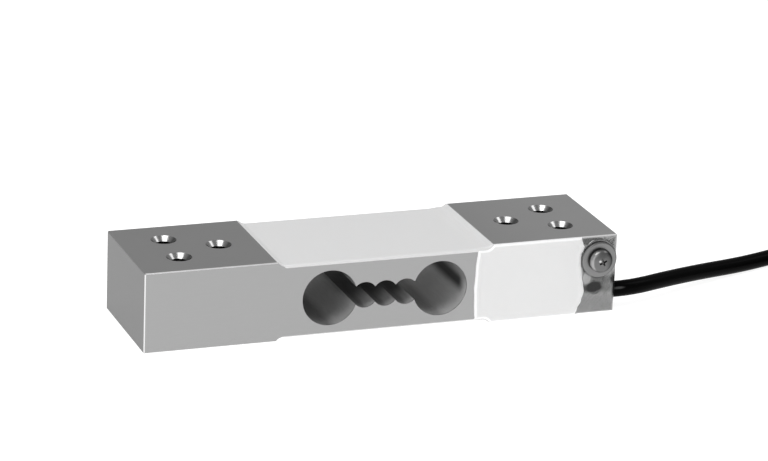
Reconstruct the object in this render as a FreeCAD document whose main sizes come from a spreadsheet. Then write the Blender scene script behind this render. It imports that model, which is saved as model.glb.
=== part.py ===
import FreeCAD, Part
import math
import os
import re

import Sketcher

# Single point load cell: an aluminium bar with a binocular cut-out, strain gauges under
# silicone on its thinned middle, a trimming board in a pocket, and a four-core lead.
# Millimetres. +X runs along the bar to the lead, +Z is up. The origin is on the base face,
# midway between the two bolt holes of the fixed end.

os.makedirs("parts", exist_ok=True)
doc = FreeCAD.newDocument("single_point_load_cell")
Vector = FreeCAD.Vector

# Driving dimensions
SIZES = {
    # Bar
    "bar_length": 150.0,
    "bar_width": 40.0,
    "bar_height": 25.0,
    "edge_break": 0.3,
    "recess_length": 68.6,
    "recess_depth": 1.56,
    "recess_radius": 3.3,
    # Binocular cut-out
    "bore_radius": 8.65,
    "bore_spacing": 35.0,
    "link_radius": 4.05,
    "link_pitch": 6.5,
    # Tapped mounting holes
    "tap_radius": 2.5,
    "mouth_radius": 3.8,
    "pair_from_end": 14.0,
    "pair_spacing": 16.0,
    "single_from_end": 28.75,
    # Pocket for the board, and the channels that lead to it
    "pocket_from_end": 13.0,
    "pocket_length": 24.0,
    "pocket_height": 18.0,
    "pocket_drop": 0.5,
    "pocket_depth": 6.0,
    "pocket_corner": 3.0,
    "channel_from_ramp": 1.0,
    "channel_width": 2.4,
    "channel_depth": 1.0,
    "channel_height": 5.4,
    # Strain gauges and solder terminals
    "gauge_length": 8.0,
    "gauge_width": 6.0,
    "backing_thickness": 0.08,
    "foil_thickness": 0.04,
    "grid_length": 4.2,
    "grid_line": 0.3,
    "grid_pitch": 0.6,
    "terminal_width": 3.0,
    "terminal_from_ramp": 4.9,
    "terminal_offset": 5.1,
    "terminal_pitch": 1.4,
    "pad_length": 1.6,
    "pad_width": 0.8,
    "wire_size": 0.2,
    "wire_lead_out": 1.6,
    "wire_step": 0.8,
    # Trimming board
    "board_length": 15.0,
    "board_height": 12.6,
    "board_thickness": 1.0,
    "board_from_pocket": 1.9,
    "resistor_length": 2.0,
    "resistor_width": 1.25,
    "resistor_thickness": 0.5,
    "core_pad_height": 1.5,
    "core_pad_pitch": 2.5,
    # Lead and its entry
    "lead_radius": 2.5,
    "lead_from_front": 3.4,
    "lead_height": 5.9,
    "lead_into_pocket": 0.5,
    "entry_clearance": 0.4,
    "entry_seal_depth": 9.0,
    "entry_bead_radius": 3.3,
    "entry_bead_height": 0.5,
    "core_radius": 0.55,
    "drain_radius": 0.25,
    "port_radius": 2.3,
    "port_from_end": 6.6,
    "port_height": 8.3,
    "port_depth": 4.6,
    # Ground screw
    "screw_from_end": 6.1,
    "screw_height": 17.65,
    "screw_shank_radius": 1.62,
    "screw_clearance": 0.03,
    "screw_reach": 8.0,
    "screw_hole_depth": 9.5,
    "head_radius": 3.7,
    "head_rim": 1.1,
    "head_rise": 1.9,
    "head_shoulder": 2.9,
    "head_crown": 1.8,
    "cross_width": 1.0,
    "cross_span": 4.2,
    "cross_depth": 1.7,
    "washer_radius": 5.65,
    "washer_hole_radius": 2.15,
    "washer_thickness": 1.0,
    "tag_radius": 3.9,
    "tag_hole_radius": 2.1,
    "tag_thickness": 0.5,
    "tag_tail_length": 7.4,
    "tag_tail_width": 2.4,
    "tag_angle": 140.0,
    # Silicone coats and lacquer
    "neck_coat": 0.5,
    "neck_coat_margin": 0.3,
    "side_coat": 0.75,
    "side_coat_bevel": 0.4,
    "side_coat_lap": 2.7,
    "side_coat_short_top": 11.5,
    "side_coat_short_middle": 10.8,
    "side_coat_short_low": 12.1,
    "lacquer_thickness": 0.12,
    "lacquer_margin": 0.35,
    # Coil of the lead, its tie and its stripped end
    "coil_radius": 29.0,
    "coil_band": 12.7,
    "coil_allowance": 0.1,
    "coil_corner": 1.4,
    "tie_thickness": 0.8,
    "tie_width_angle": 7.0,
    "sleeve_wall": 0.5,
    "sleeve_length": 12.0,
    "sleeve_over_jacket": 8.0,
    "sleeve_neck_radius": 2.2,
    "tip_radius": 0.32,
    "tip_length": 6.0,
}
GRID_LINES = 6
WIRES_A_SIDE = 4

sizes = doc.addObject("Spreadsheet::Sheet", "Sizes")
for row, (name, size) in enumerate(SIZES.items(), 1):
    sizes.set(f"A{row}", name)
    sizes.set(f"B{row}", str(size))
    sizes.setAlias(f"B{row}", name)
doc.recompute()

# Places that several pieces share, as formulas on the sheet
BAR_X = "-(bar_length/2 - pair_from_end)"
BAR_END = "pair_from_end"
FRONT = "-bar_width/2"
NECK_TOP = "(bar_height - recess_depth)"
RAMP = "sqrt(2*recess_radius*recess_depth - recess_depth^2)"
PAIR_X = "(bar_length/2 - pair_from_end)"
SINGLE_X = "(bar_length/2 - single_from_end)"
POCKET_END = "(bar_length/2 - pocket_from_end)"
POCKET_START = "(bar_length/2 - pocket_from_end - pocket_length)"
ENTRY_RADIUS = "(lead_radius + entry_clearance)"
LEAD_Y = "(-bar_width/2 + lead_from_front)"
SCREW_X = "(pair_from_end - screw_from_end)"
RAMP_FOOT = f"(recess_length/2 - {RAMP})"
TERMINAL_X = f"({RAMP_FOOT} - terminal_from_ramp)"
CHANNEL_X = f"({RAMP_FOOT} - channel_from_ramp)"
COAT_START = f"({RAMP_FOOT} - side_coat_lap)"
COAT_TOP = "(bar_length/2 - side_coat_short_top)"
COAT_MIDDLE = "(bar_length/2 - side_coat_short_middle)"
COAT_LOW = "(bar_length/2 - side_coat_short_low)"
SEAT_Y = "(-bar_width/2 - tag_thickness - washer_thickness)"
BOARD_START = "(pair_from_end - pocket_from_end - pocket_length + board_from_pocket)"
BOARD_FACE = "(-bar_width/2 + pocket_depth - board_thickness)"


def formula(text):
    """Lead each size's name with the sheet's, as the document's expressions want it."""
    return re.sub(r"\b(" + "|".join(SIZES) + r")\b", r"Sizes.\1", str(text))


def amount(text):
    """The value of a formula."""
    return float(sizes.evalExpression(formula(text)))


def bind(thing, formulas):
    """Tie properties of an object to formulas on the sheet."""
    for path, text in formulas.items():
        thing.setExpression(path, formula(text))


def place(thing, x="0", y="0", z="0"):
    """Tie an object's place to formulas on the sheet."""
    bind(thing, {".Placement.Base.x": x, ".Placement.Base.y": y, ".Placement.Base.z": z})


subparts = []


def subpart(thing, label):
    """Name an object as a sub-part that gets a file of its own."""
    thing.Label = label
    subparts.append(thing)
    return thing


def new_body(name):
    return doc.addObject("PartDesign::Body", name)


def new_sketch(body, name, role, lift="0"):
    """A sketch on one of the body's own origin planes, lifted off it by a formula."""
    sketch = body.newObject("Sketcher::SketchObject", name)
    plane = next(one for one in body.Origin.OriginFeatures if one.Role == role)
    sketch.AttachmentSupport = [(plane, "")]
    sketch.MapMode = "FlatFace"
    bind(sketch, {"AttachmentOffset.Base.z": lift})
    return sketch


def pin(sketch, curve, spot, across, up):
    """Tie a point of a curve to its place across and up from the sketch's origin."""
    for kind, text in (("DistanceX", across), ("DistanceY", up)):
        rule = Sketcher.Constraint(kind, -1, 1, curve, spot, amount(text))
        bind(sketch, {f"Constraints[{sketch.addConstraint(rule)}]": text})


def add_circle(sketch, across, up, radius):
    circle = Part.Circle(Vector(amount(across), amount(up), 0), Vector(0, 0, 1), amount(radius))
    curve = sketch.addGeometry(circle, False)
    pin(sketch, curve, 3, across, up)
    rule = Sketcher.Constraint("Radius", curve, amount(radius))
    bind(sketch, {f"Constraints[{sketch.addConstraint(rule)}]": radius})


def add_outline(sketch, corners):
    """A closed outline. A corner is (across, up), and has a radius and a side as well where an
    arc leads on from it: side 1 turns left, side -1 turns right."""
    spots = [Vector(amount(corner[0]), amount(corner[1]), 0) for corner in corners]
    ends = []
    for corner, start, stop in zip(corners, spots, spots[1:] + spots[:1]):
        if len(corner) == 2:
            ends.append((sketch.addGeometry(Part.LineSegment(start, stop), False), 1, 2))
            continue
        radius, side = amount(corner[2]), corner[3]
        chord = stop - start
        inward = Vector(-chord.y, chord.x, 0).normalize() * side
        centre = start + chord / 2 + inward * math.sqrt(max(radius**2 - chord.Length**2 / 4, 0))
        from_centre = [start - centre, stop - centre][::side]
        angles = [math.atan2(arm.y, arm.x) for arm in from_centre]
        circle = Part.Circle(centre, Vector(0, 0, 1), radius)
        curve = sketch.addGeometry(Part.ArcOfCircle(circle, *angles), False)
        ends.append((curve, 1, 2) if side > 0 else (curve, 2, 1))
        rule = Sketcher.Constraint("Radius", curve, radius)
        bind(sketch, {f"Constraints[{sketch.addConstraint(rule)}]": corner[2]})
    for before, after, corner in zip(ends[-1:] + ends[:-1], ends, corners):
        sketch.addConstraint(
            Sketcher.Constraint("Coincident", before[0], before[2], after[0], after[1]))
        pin(sketch, after[0], after[1], corner[0], corner[1])


def add_rectangle(sketch, left, low, right, high):
    add_outline(sketch, [(left, low), (right, low), (right, high), (left, high)])


def add_bevelled_rectangle(sketch, left, low, right, high, corner):
    """A rectangle whose upper corners are cut off at 45 degrees."""
    add_outline(sketch, [
        (left, low), (right, low), (right, f"{high} - {corner}"), (f"{right} - {corner}", high),
        (f"{left} + {corner}", high), (left, f"{high} - {corner}")])


def add_rounded_rectangle(sketch, left, low, right, high, corner):
    """A rectangle whose corners are arcs of one radius."""
    add_outline(sketch, [
        (f"{left} + {corner}", low), (f"{right} - {corner}", low, corner, 1),
        (right, f"{low} + {corner}"), (right, f"{high} - {corner}", corner, 1),
        (f"{right} - {corner}", high), (f"{left} + {corner}", high, corner, 1),
        (left, f"{high} - {corner}"), (left, f"{low} + {corner}", corner, 1)])


def feature(body, kind, name, sketch, length=None, **settings):
    """A Pad, Pocket, Revolution and so on, made from a sketch."""
    made = body.newObject(f"PartDesign::{kind}", name)
    made.Profile = sketch
    for key, value in settings.items():
        setattr(made, key, value)
    if length is not None:
        bind(made, {"Length": length})
    return made


def edges_where(shape, test):
    """Names of a shape's edges whose middles pass a test."""
    return [f"Edge{index}" for index, edge in enumerate(shape.Edges, 1)
            if test(edge.BoundBox.Center)]


def near(one, other):
    return abs(one - other) < 1e-4


def box(name, x, y, z, length, width, height):
    """A block from its low corner and its sides, all formulas."""
    made = doc.addObject("Part::Box", name)
    bind(made, {"Length": length, "Width": width, "Height": height})
    place(made, x, y, z)
    return made


def group(label, members):
    """Alike pieces that stay separate solids in one node."""
    made = doc.addObject("Part::Compound", label)
    made.Links = members
    return subpart(made, label)


def cut(name, base, tools):
    """What is left of a solid where other pieces lie in it."""
    held = doc.addObject("Part::Compound", name + "_hollow")
    held.Links = tools
    made = doc.addObject("Part::Cut", name)
    made.Base, made.Tool, made.Refine = base, held, True
    return made


def shaped(name, shape):
    """An object for a form that only geometry functions make."""
    made = doc.addObject("Part::Feature", name)
    made.Shape = shape
    return made


def turned(name, corners, axis_angle, turn_about):
    """A body turned about its own Z axis from an outline of (radius, height) corners, and then
    swung so that this axis points another way."""
    body = new_body(name)
    profile = new_sketch(body, name + "_section", "XZ_Plane")
    add_outline(profile, corners)
    feature(body, "Revolution", name + "_turned", profile,
            ReferenceAxis=(profile, ["V_Axis"]), Angle=360.0)
    body.Placement = FreeCAD.Placement(Vector(), FreeCAD.Rotation(turn_about, axis_angle))
    return body


# Spring body
spring = new_body("spring_body")
place(spring, BAR_X, "0", "bar_height/2")
outline = new_sketch(spring, "bar_outline", "XZ_Plane")
END, HALF, RECESS = "bar_length/2", "bar_height/2", "recess_length/2"
FLOOR, FOOT = "(bar_height/2 - recess_depth)", RAMP_FOOT
add_outline(outline, [
    (f"-{END}", f"-{HALF}"), (f"-{RECESS}", f"-{HALF}", "recess_radius", -1),
    (f"-{FOOT}", f"-{FLOOR}"), (FOOT, f"-{FLOOR}", "recess_radius", -1),
    (RECESS, f"-{HALF}"), (END, f"-{HALF}"),
    (END, HALF), (RECESS, HALF, "recess_radius", -1),
    (FOOT, FLOOR), (f"-{FOOT}", FLOOR, "recess_radius", -1),
    (f"-{RECESS}", HALF), (f"-{END}", HALF)])
bar = feature(spring, "Pad", "bar", outline, "bar_width", SideType="Symmetric")
doc.recompute()


def on_block_edge(middle):
    """Whether an edge's middle lies where two outer faces of the bar's end blocks meet."""
    at_end = near(abs(middle.x), amount(END))
    at_side = near(abs(middle.y), amount("bar_width/2"))
    at_face = near(abs(middle.z), amount(HALF))
    return at_end + at_side + at_face == 2


edges = spring.newObject("PartDesign::Chamfer", "broken_edges")
edges.Base = (bar, edges_where(bar.Shape, on_block_edge))
bind(edges, {"Size": "edge_break"})

bores = new_sketch(spring, "bore_circles", "XZ_Plane")
for side in ("-", ""):
    add_circle(bores, f"{side}bore_spacing/2", "0", "bore_radius")
feature(spring, "Pocket", "bores", bores, Type="ThroughAll", SideType="Symmetric")

link = new_sketch(spring, "link_circle", "XZ_Plane")
add_circle(link, "-link_pitch", "0", "link_radius")
link_hole = feature(spring, "Pocket", "link_hole", link, Type="ThroughAll", SideType="Symmetric")
links = spring.newObject("PartDesign::LinearPattern", "link_holes")
links.Originals = [link_hole]
links.Direction = (link, ["H_Axis"])
links.Occurrences = 3
bind(links, {"Length": "2*link_pitch"})
spring.Tip = links
doc.recompute()

taps = new_sketch(spring, "tap_centres", "XY_Plane", HALF)
for across, up in ((PAIR_X, "-pair_spacing/2"), (PAIR_X, "pair_spacing/2"), (SINGLE_X, "0")):
    add_circle(taps, across, up, "tap_radius")
doc.recompute()
tapped = feature(spring, "Hole", "tapped_holes", taps)
tapped.ThreadType = "None"
tapped.DepthType = "ThroughAll"
tapped.HoleCutType = "Countersink"
tapped.HoleCutCustomValues = True
tapped.HoleCutCountersinkAngle = 90.0
bind(tapped, {"Diameter": "2*tap_radius", "HoleCutDiameter": "2*mouth_radius"})
doc.recompute()
mirrored = spring.newObject("PartDesign::MultiTransform", "mirrored_taps")
mirrored.Originals = [tapped]
flips = []
for role in ("YZ_Plane", "XY_Plane"):
    flip = spring.newObject("PartDesign::Mirrored", "flip_" + role[:2].lower())
    flip.MirrorPlane = (next(one for one in spring.Origin.OriginFeatures if one.Role == role), [""])
    flips.append(flip)
mirrored.Transformations = flips
spring.Tip = mirrored
doc.recompute()


def pocket_outline(sketch):
    """The board pocket's outline, seen from the front."""
    add_rounded_rectangle(sketch, POCKET_START, "(-pocket_drop - pocket_height/2)",
                          POCKET_END, "(-pocket_drop + pocket_height/2)", "pocket_corner")


pocket = new_sketch(spring, "pocket_sides", "XZ_Plane", "bar_width/2")
pocket_outline(pocket)
feature(spring, "Pocket", "board_pocket", pocket, "pocket_depth")
channel = new_sketch(spring, "channel_outline", "XZ_Plane", "bar_width/2")
NEAR_EDGE, FAR_EDGE = f"({CHANNEL_X} - channel_width/2)", f"({CHANNEL_X} + channel_width/2)"
BEYOND = f"({POCKET_START} + pocket_corner)"
add_outline(channel, [
    (NEAR_EDGE, f"-{HALF}"), (FAR_EDGE, f"-{HALF}"), (FAR_EDGE, "-channel_height/2"),
    (BEYOND, "-channel_height/2"), (BEYOND, "channel_height/2"), (FAR_EDGE, "channel_height/2"),
    (FAR_EDGE, HALF), (NEAR_EDGE, HALF)])
feature(spring, "Pocket", "wire_channels", channel, "channel_depth")
entry = new_sketch(spring, "entry_circle", "YZ_Plane", END)
add_circle(entry, LEAD_Y, "(lead_height - bar_height/2)", ENTRY_RADIUS)
feature(spring, "Pocket", "lead_bore", entry, "pocket_from_end + pocket_corner")
port = new_sketch(spring, "port_circle", "XZ_Plane", "bar_width/2")
add_circle(port, "(bar_length/2 - port_from_end)", "(port_height - bar_height/2)", "port_radius")
feature(spring, "Pocket", "resin_port", port, "port_depth")
ground = new_sketch(spring, "ground_circle", "XZ_Plane", "bar_width/2")
add_circle(ground, "(bar_length/2 - screw_from_end)", "(screw_height - bar_height/2)",
           "screw_shank_radius + screw_clearance")
feature(spring, "Pocket", "ground_hole", ground, "screw_hole_depth")
subpart(spring, "spring_body")


# Strain gauges and solder terminals on both faces of the neck
def on_neck(face, rise, thickness):
    """Height of the low side of a layer that lies on the neck, a rise off its top or bottom."""
    if face == "top":
        return f"{NECK_TOP} + {rise}"
    return f"recess_depth - {rise} - {thickness}"


def meander(length, line, pitch, lines, thickness):
    """Gauge foil: lines side by side, joined at alternate ends, with a tab on each free end."""
    strips = []
    for index in range(lines):
        middle = (index - (lines - 1) / 2) * pitch
        strips.append((-length / 2, middle - line / 2, length / 2, middle + line / 2))
        if index < lines - 1:
            side = length / 2 - line if index % 2 else -length / 2
            strips.append((side, middle - line / 2, side + line, middle + pitch + line / 2))
        if index in (0, lines - 1):
            strips.append((length / 2, middle - line, length / 2 + 2 * line, middle + line))
    blocks = [Part.makeBox(right - left, high - low, thickness, Vector(left, low, 0))
              for left, low, right, high in strips]
    return blocks[0].multiFuse(blocks[1:]).removeSplitter()


def square_wire(points, size):
    """A fine wire laid along runs that each follow one axis."""
    blocks = []
    for start, stop in zip(points, points[1:]):
        low = Vector(*(min(a, b) - size / 2 for a, b in zip(start, stop)))
        high = Vector(*(max(a, b) + size / 2 for a, b in zip(start, stop)))
        blocks.append(Part.makeBox(*(high - low), low))
    return blocks[0].multiFuse(blocks[1:]).removeSplitter()


inner_pieces = {"top": [], "bottom": []}
bar_x = amount(BAR_X)
wire = amount("wire_size")
layers = amount("backing_thickness + foil_thickness")
tab_x = amount("grid_length/2 + grid_line")
tab_y = amount("grid_pitch") * (GRID_LINES - 1) / 2
pitch = amount("terminal_pitch")


def terminal_y(index):
    """Place of a solder terminal across the bar."""
    return f"-(terminal_offset + ({index} - {(WIRES_A_SIDE - 1) / 2})*terminal_pitch)"


for face in ("top", "bottom"):
    def height(z):
        """A height over the neck's top, or the same depth under its bottom."""
        return amount(NECK_TOP) + z if face == "top" else amount("recess_depth") - z

    for end, side in (("load", -1), ("fixed", 1)):
        backing = box(f"gauge_{face}_{end}", f"{BAR_X} + {side}*bore_spacing/2 - gauge_length/2",
                      "-gauge_width/2", on_neck(face, "0", "backing_thickness"),
                      "gauge_length", "gauge_width", "backing_thickness")
        subpart(backing, f"strain_gauge_{face}_{end}")
        grid = shaped(f"grid_{face}_{end}", meander(
            amount("grid_length"), amount("grid_line"), amount("grid_pitch"), GRID_LINES,
            amount("foil_thickness")))
        place(grid, f"{BAR_X} + {side}*bore_spacing/2", "0",
              on_neck(face, "backing_thickness", "foil_thickness"))
        subpart(grid, f"gauge_grid_{face}_{end}")
        inner_pieces[face] += [backing, grid]

    strip_length = f"{WIRES_A_SIDE}*terminal_pitch"
    strip = box(f"terminals_{face}", f"{BAR_X} + {TERMINAL_X} - terminal_width/2",
                f"-terminal_offset - {strip_length}/2", on_neck(face, "0", "backing_thickness"),
                "terminal_width", strip_length, "backing_thickness")
    subpart(strip, f"terminal_strip_{face}")
    pads = [box(f"terminal_{face}_{index}", f"{BAR_X} + {TERMINAL_X} - pad_length/2",
                f"{terminal_y(index)} - pad_width/2",
                on_neck(face, "backing_thickness", "foil_thickness"),
                "pad_length", "pad_width", "foil_thickness") for index in range(WIRES_A_SIDE)]
    inner_pieces[face] += [strip, group(f"terminal_pads_{face}", pads)]

    # The load end's gauge is wired past the fixed end's, on the side of the pocket
    lie = height(layers + wire / 2)
    pad_x = bar_x + amount(TERMINAL_X)
    gauge_wires = []
    for index in range(WIRES_A_SIDE):
        tab_side = -1 if index % 2 else 1
        gauge_x = bar_x + (1 if index < 2 else -1) * amount("bore_spacing/2")
        lane_x = gauge_x + tab_x + amount("wire_lead_out")
        if tab_side > 0:
            lane_x += amount("wire_step")
        lane_y = amount(terminal_y(index))
        points = [(gauge_x + tab_x, tab_side * tab_y, lie), (lane_x, tab_side * tab_y, lie),
                  (lane_x, lane_y, lie), (pad_x - wire, lane_y, lie)]
        gauge_wires.append(shaped(f"gauge_wire_{face}_{index}", square_wire(points, wire)))
    inner_pieces[face].append(group(f"gauge_wires_{face}", gauge_wires))

# Trimming board in the pocket
MIDDLE_Z = "(bar_height/2 - pocket_drop)"
board = box("board", BOARD_START, BOARD_FACE, f"{MIDDLE_Z} - board_height/2",
            "board_length", "board_thickness", "board_height")
subpart(board, "trimming_board")


def board_pad(name, x, z, height):
    """A copper pad on the board's front, from its near side and its middle height."""
    return box(name, x, f"{BOARD_FACE} - foil_thickness", f"{z} - {height}/2",
               "pad_length", "foil_thickness", height)


def signal_pad_z(face, index):
    sign = "+" if face == "top" else "-"
    return f"{MIDDLE_Z} {sign} (0.5 + {index})*terminal_pitch"


def core_pad_z(index):
    return f"{MIDDLE_Z} + ({index} - 1.5)*core_pad_pitch"


signal_pad_x = f"{BOARD_START} + pad_width/2"
core_pad_x = f"{BOARD_START} + board_length - pad_length - pad_width/2"
board_pads = [board_pad(f"signal_pad_{face}_{index}", signal_pad_x, signal_pad_z(face, index),
                        "pad_width")
              for face in ("top", "bottom") for index in range(WIRES_A_SIDE)]
board_pads += [board_pad(f"core_pad_{index}", core_pad_x, core_pad_z(index), "core_pad_height")
               for index in range(4)]
group("board_pads", board_pads)
resistors = [box(f"resistor_{column}_{line}",
                 f"{BOARD_START} + board_length/2 + ({column} - 0.5)*2*resistor_length"
                 " - resistor_length/2",
                 f"{BOARD_FACE} - resistor_thickness",
                 f"{MIDDLE_Z} + ({line} - 0.5)*4*resistor_width - resistor_width/2",
                 "resistor_length", "resistor_thickness", "resistor_width")
             for column in range(2) for line in range(2)]
group("trimming_resistors", resistors)

# Fine wires from the terminals, down or up the channel and across to the board
channel_y = amount(f"{FRONT} + channel_depth/2")
solder_y = amount(f"{BOARD_FACE} - foil_thickness") - wire / 2
lane = 2 * wire
for face in ("top", "bottom"):
    sign = 1 if face == "top" else -1
    rise = layers + wire / 2
    lie = amount(NECK_TOP) + rise if sign > 0 else amount("recess_depth") - rise
    bridge_wires = []
    for index in range(WIRES_A_SIDE):
        slot = WIRES_A_SIDE - 1 - index
        down_x = bar_x + amount(CHANNEL_X) + (slot - (WIRES_A_SIDE - 1) / 2) * lane
        turn_z = amount("bar_height/2") + sign * (slot + 0.6) * lane
        pad_z = amount(signal_pad_z(face, slot))
        pad_y = amount(terminal_y(index))
        rise_x = amount(BOARD_START) - (slot + 1) * 1.5 * wire
        points = [(bar_x + amount(TERMINAL_X) + 3 * wire, pad_y, lie),
                  (down_x, pad_y, lie), (down_x, channel_y, lie), (down_x, channel_y, turn_z),
                  (rise_x, channel_y, turn_z), (rise_x, solder_y, turn_z),
                  (rise_x, solder_y, pad_z),
                  (amount(signal_pad_x) + 3 * wire, solder_y, pad_z)]
        bridge_wires.append(shaped(f"bridge_wire_{face}_{index}", square_wire(points, wire)))
    inner_pieces[face].append(group(f"bridge_wires_{face}", bridge_wires))


# Lead, its cores and its coil
def arc_radius(before, turn, after):
    """The radius of the arc at one point of a route: 0.45 of the shorter run, over the
    tangent of half the turn."""
    arriving, leaving = turn - before, after - turn
    half_turn = arriving.getAngle(leaving) / 2
    return 0.45 * min(arriving.Length, leaving.Length) / math.tan(half_turn)


def routed(name, points, radius):
    """A round tube along straight runs joined by tangent arcs."""
    spots = [Vector(*point) for point in points]
    stretches, radii, length, at = [], [], 0.0, spots[0]
    for before, turn, after in zip(spots, spots[1:], spots[2:]):
        if (turn - before).getAngle(after - turn) < 1e-6:
            continue
        bend = arc_radius(before, turn, after)
        radii.append(bend)
        arriving, leaving = (turn - before).normalize(), (after - turn).normalize()
        angle = arriving.getAngle(leaving)
        back = bend * math.tan(angle / 2)
        start, axis = turn - arriving * back, arriving.cross(leaving).normalize()
        stretches.append(Part.makeCylinder(radius, (start - at).Length, at, arriving))
        disc = Part.Face(Part.Wire([Part.makeCircle(radius, start, arriving)]))
        centre = start + axis.cross(arriving) * bend
        stretches.append(disc.revolve(centre, axis, math.degrees(angle)))
        length += (start - at).Length + bend * angle
        at = turn + leaving * back
    last_run = spots[-1] - at
    stretches.append(Part.makeCylinder(radius, last_run.Length, at, last_run.normalize()))
    length += (spots[-1] - at).Length
    tube = stretches[0].multiFuse(stretches[1:])
    share = tube.Volume / (length * math.pi * radius**2)
    print(f"{name}: {length:.1f} mm long, volume over section times length {share:.4f}, "
          f"arc radii {', '.join(f'{bend:.1f}' for bend in radii)}")
    return shaped(name, tube)


def mitred(name, points, radius):
    """A fine wire of eight flat sides, along straight runs that meet in mitres."""
    spots = [Vector(*point) for point in points]
    along = spots[1] - spots[0]
    arm = along.cross(Vector(0, 0, 1)).normalize() * radius
    corners = [spots[0] + FreeCAD.Rotation(along, 45 * (step + 0.5)).multVec(arm)
               for step in range(8)]
    section = Part.makePolygon(corners + corners[:1])
    return shaped(name, Part.makePolygon(spots).makePipeShell([section], True, False, 1))


lead_r, lead_y, lead_z = amount("lead_radius"), amount(LEAD_Y), amount("lead_height")
lead_x = amount(f"{BAR_END} - pocket_from_end - lead_into_pocket")
rest_z = lead_r + 0.05
# The lead's route from its inner end: along, across, and what is left of its height off the
# floor, out of the bore, back and down to the floor
LEAD_ROUTE = [
    (0.0, 0.0, 1.0), (9.5, 0.0, 1.0), (21.2, 0.0, 1.0), (35.3, 6.4, 0.776),
    (50.7, 13.3, 0.403), (67.5, 19.65, 0.0), (83.0, 24.95, 0.0)]
lead_points = [(lead_x + x, lead_y + y, rest_z + (lead_z - rest_z) * share)
               for x, y, share in LEAD_ROUTE]
lead_tube = subpart(routed("lead_tube", lead_points, lead_r), "lead_tube")

# Cores from the lead's inner end to the board
CORES = ("green", "white", "black", "red")
core_r = amount("core_radius")
core_y = amount(f"{BOARD_FACE} - foil_thickness") - core_r
core_end = amount(core_pad_x) + amount("pad_length") / 4
core_spread = 0.8
core_starts = [(-1, -1, 6.1), (1, -1, 4.8), (1, 1, 3.4), (-1, 1, 2.0)]
lead_start = Vector(*lead_points[0])
for index, (color, (along_y, along_z, reach)) in enumerate(zip(CORES, core_starts)):
    y = lead_start.y + along_y * core_spread
    z = lead_start.z + along_z * core_spread
    x = lead_start.x - reach
    pad_z = amount(core_pad_z(index))
    route = [(lead_start.x, y, z), (x, y, z), (x - 0.6, core_y, pad_z), (core_end, core_y, pad_z)]
    subpart(mitred(f"core_{color}", route, core_r), f"board_core_{color}")

# Coil: the lead's turns as one ring, with the stretches where the lead runs in and out
coil_r = amount("coil_radius")
COIL_RIM = "(coil_radius + lead_radius + coil_allowance)"
COIL_INSIDE = "(coil_radius + lead_radius + coil_allowance - coil_band)"
COIL_TOP = "(2*lead_radius + coil_allowance)"
coil_body = new_body("coil_ring")
ring_section = new_sketch(coil_body, "coil_section", "XZ_Plane")
add_bevelled_rectangle(ring_section, COIL_INSIDE, "0", COIL_RIM, COIL_TOP, "coil_corner")
feature(coil_body, "Revolution", "coil_turned", ring_section,
        ReferenceAxis=(ring_section, ["V_Axis"]), Angle=360.0)
last = Vector(*lead_points[-1])
heading = (last - Vector(*lead_points[-2])).normalize()
run_in = math.sqrt((coil_r + 1.2 * lead_r)**2 - (coil_r - lead_r)**2)
touch = last + heading * run_in
coil_centre = touch + Vector(heading.y, -heading.x, 0) * coil_r
coil_body.Placement.Base = Vector(coil_centre.x, coil_centre.y, 0)
COIL_TURNS = 2.15
start_angle = math.atan2(touch.y - coil_centre.y, touch.x - coil_centre.x)
leave_angle = start_angle - COIL_TURNS * 2 * math.pi
leave = coil_centre + Vector(math.cos(leave_angle), math.sin(leave_angle), 0) * coil_r
leave.z = amount(COIL_TOP) + lead_r * 0.92
sleeve_start = run_in + 1.5
sleeve_r = amount("lead_radius + sleeve_wall")
tail_end = sleeve_start + amount("sleeve_length")
slope = (leave.z - sleeve_r - 0.05) / tail_end
tail = Vector(math.sin(leave_angle), -math.cos(leave_angle), -slope).normalize()
stubs = []
for name, foot, direction, length in (
        ("coil_run_in", last, heading, run_in),
        ("coil_run_out", leave, tail, sleeve_start + amount("sleeve_over_jacket"))):
    stub = doc.addObject("Part::Cylinder", name)
    bind(stub, {"Radius": "lead_radius"})
    stub.Height = length
    stub.Placement = FreeCAD.Placement(foot, FreeCAD.Rotation(Vector(0, 0, 1), direction))
    stubs.append(stub)
coil = doc.addObject("Part::MultiFuse", "lead_coil")
coil.Shapes = [coil_body] + stubs
subpart(coil, "lead_coil")

# Tie round the coil
tie = new_body("tie")
band = new_sketch(tie, "tie_section", "XZ_Plane")
add_bevelled_rectangle(band, f"({COIL_INSIDE} - tie_thickness)", "0",
                       f"({COIL_RIM} + tie_thickness)", f"({COIL_TOP} + tie_thickness)",
                       "(coil_corner + tie_thickness/2)")
tie_band = feature(tie, "Revolution", "tie_band", band, ReferenceAxis=(band, ["V_Axis"]))
bind(tie_band, {"Angle": "tie_width_angle"})
tie.Placement = FreeCAD.Placement(
    Vector(coil_centre.x, coil_centre.y, 0), FreeCAD.Rotation(Vector(0, 0, 1), -60.0))
coil_tie = cut("coil_tie", tie, [coil])
subpart(coil_tie, "coil_tie")

# Sleeve over the jacket's end, and the four stripped cores
sleeve = turned("sleeve", [
    ("lead_radius", "0"), ("lead_radius + sleeve_wall", "0"),
    ("lead_radius + sleeve_wall", "sleeve_over_jacket"),
    ("sleeve_neck_radius", "sleeve_length"), ("0", "sleeve_length"),
    ("0", "sleeve_over_jacket"), ("lead_radius", "sleeve_over_jacket")], 0.0, Vector(0, 0, 1))
sleeve_foot = leave + tail * sleeve_start
sleeve.Placement = FreeCAD.Placement(sleeve_foot, FreeCAD.Rotation(Vector(0, 0, 1), tail))
subpart(sleeve, "end_sleeve")

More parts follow.
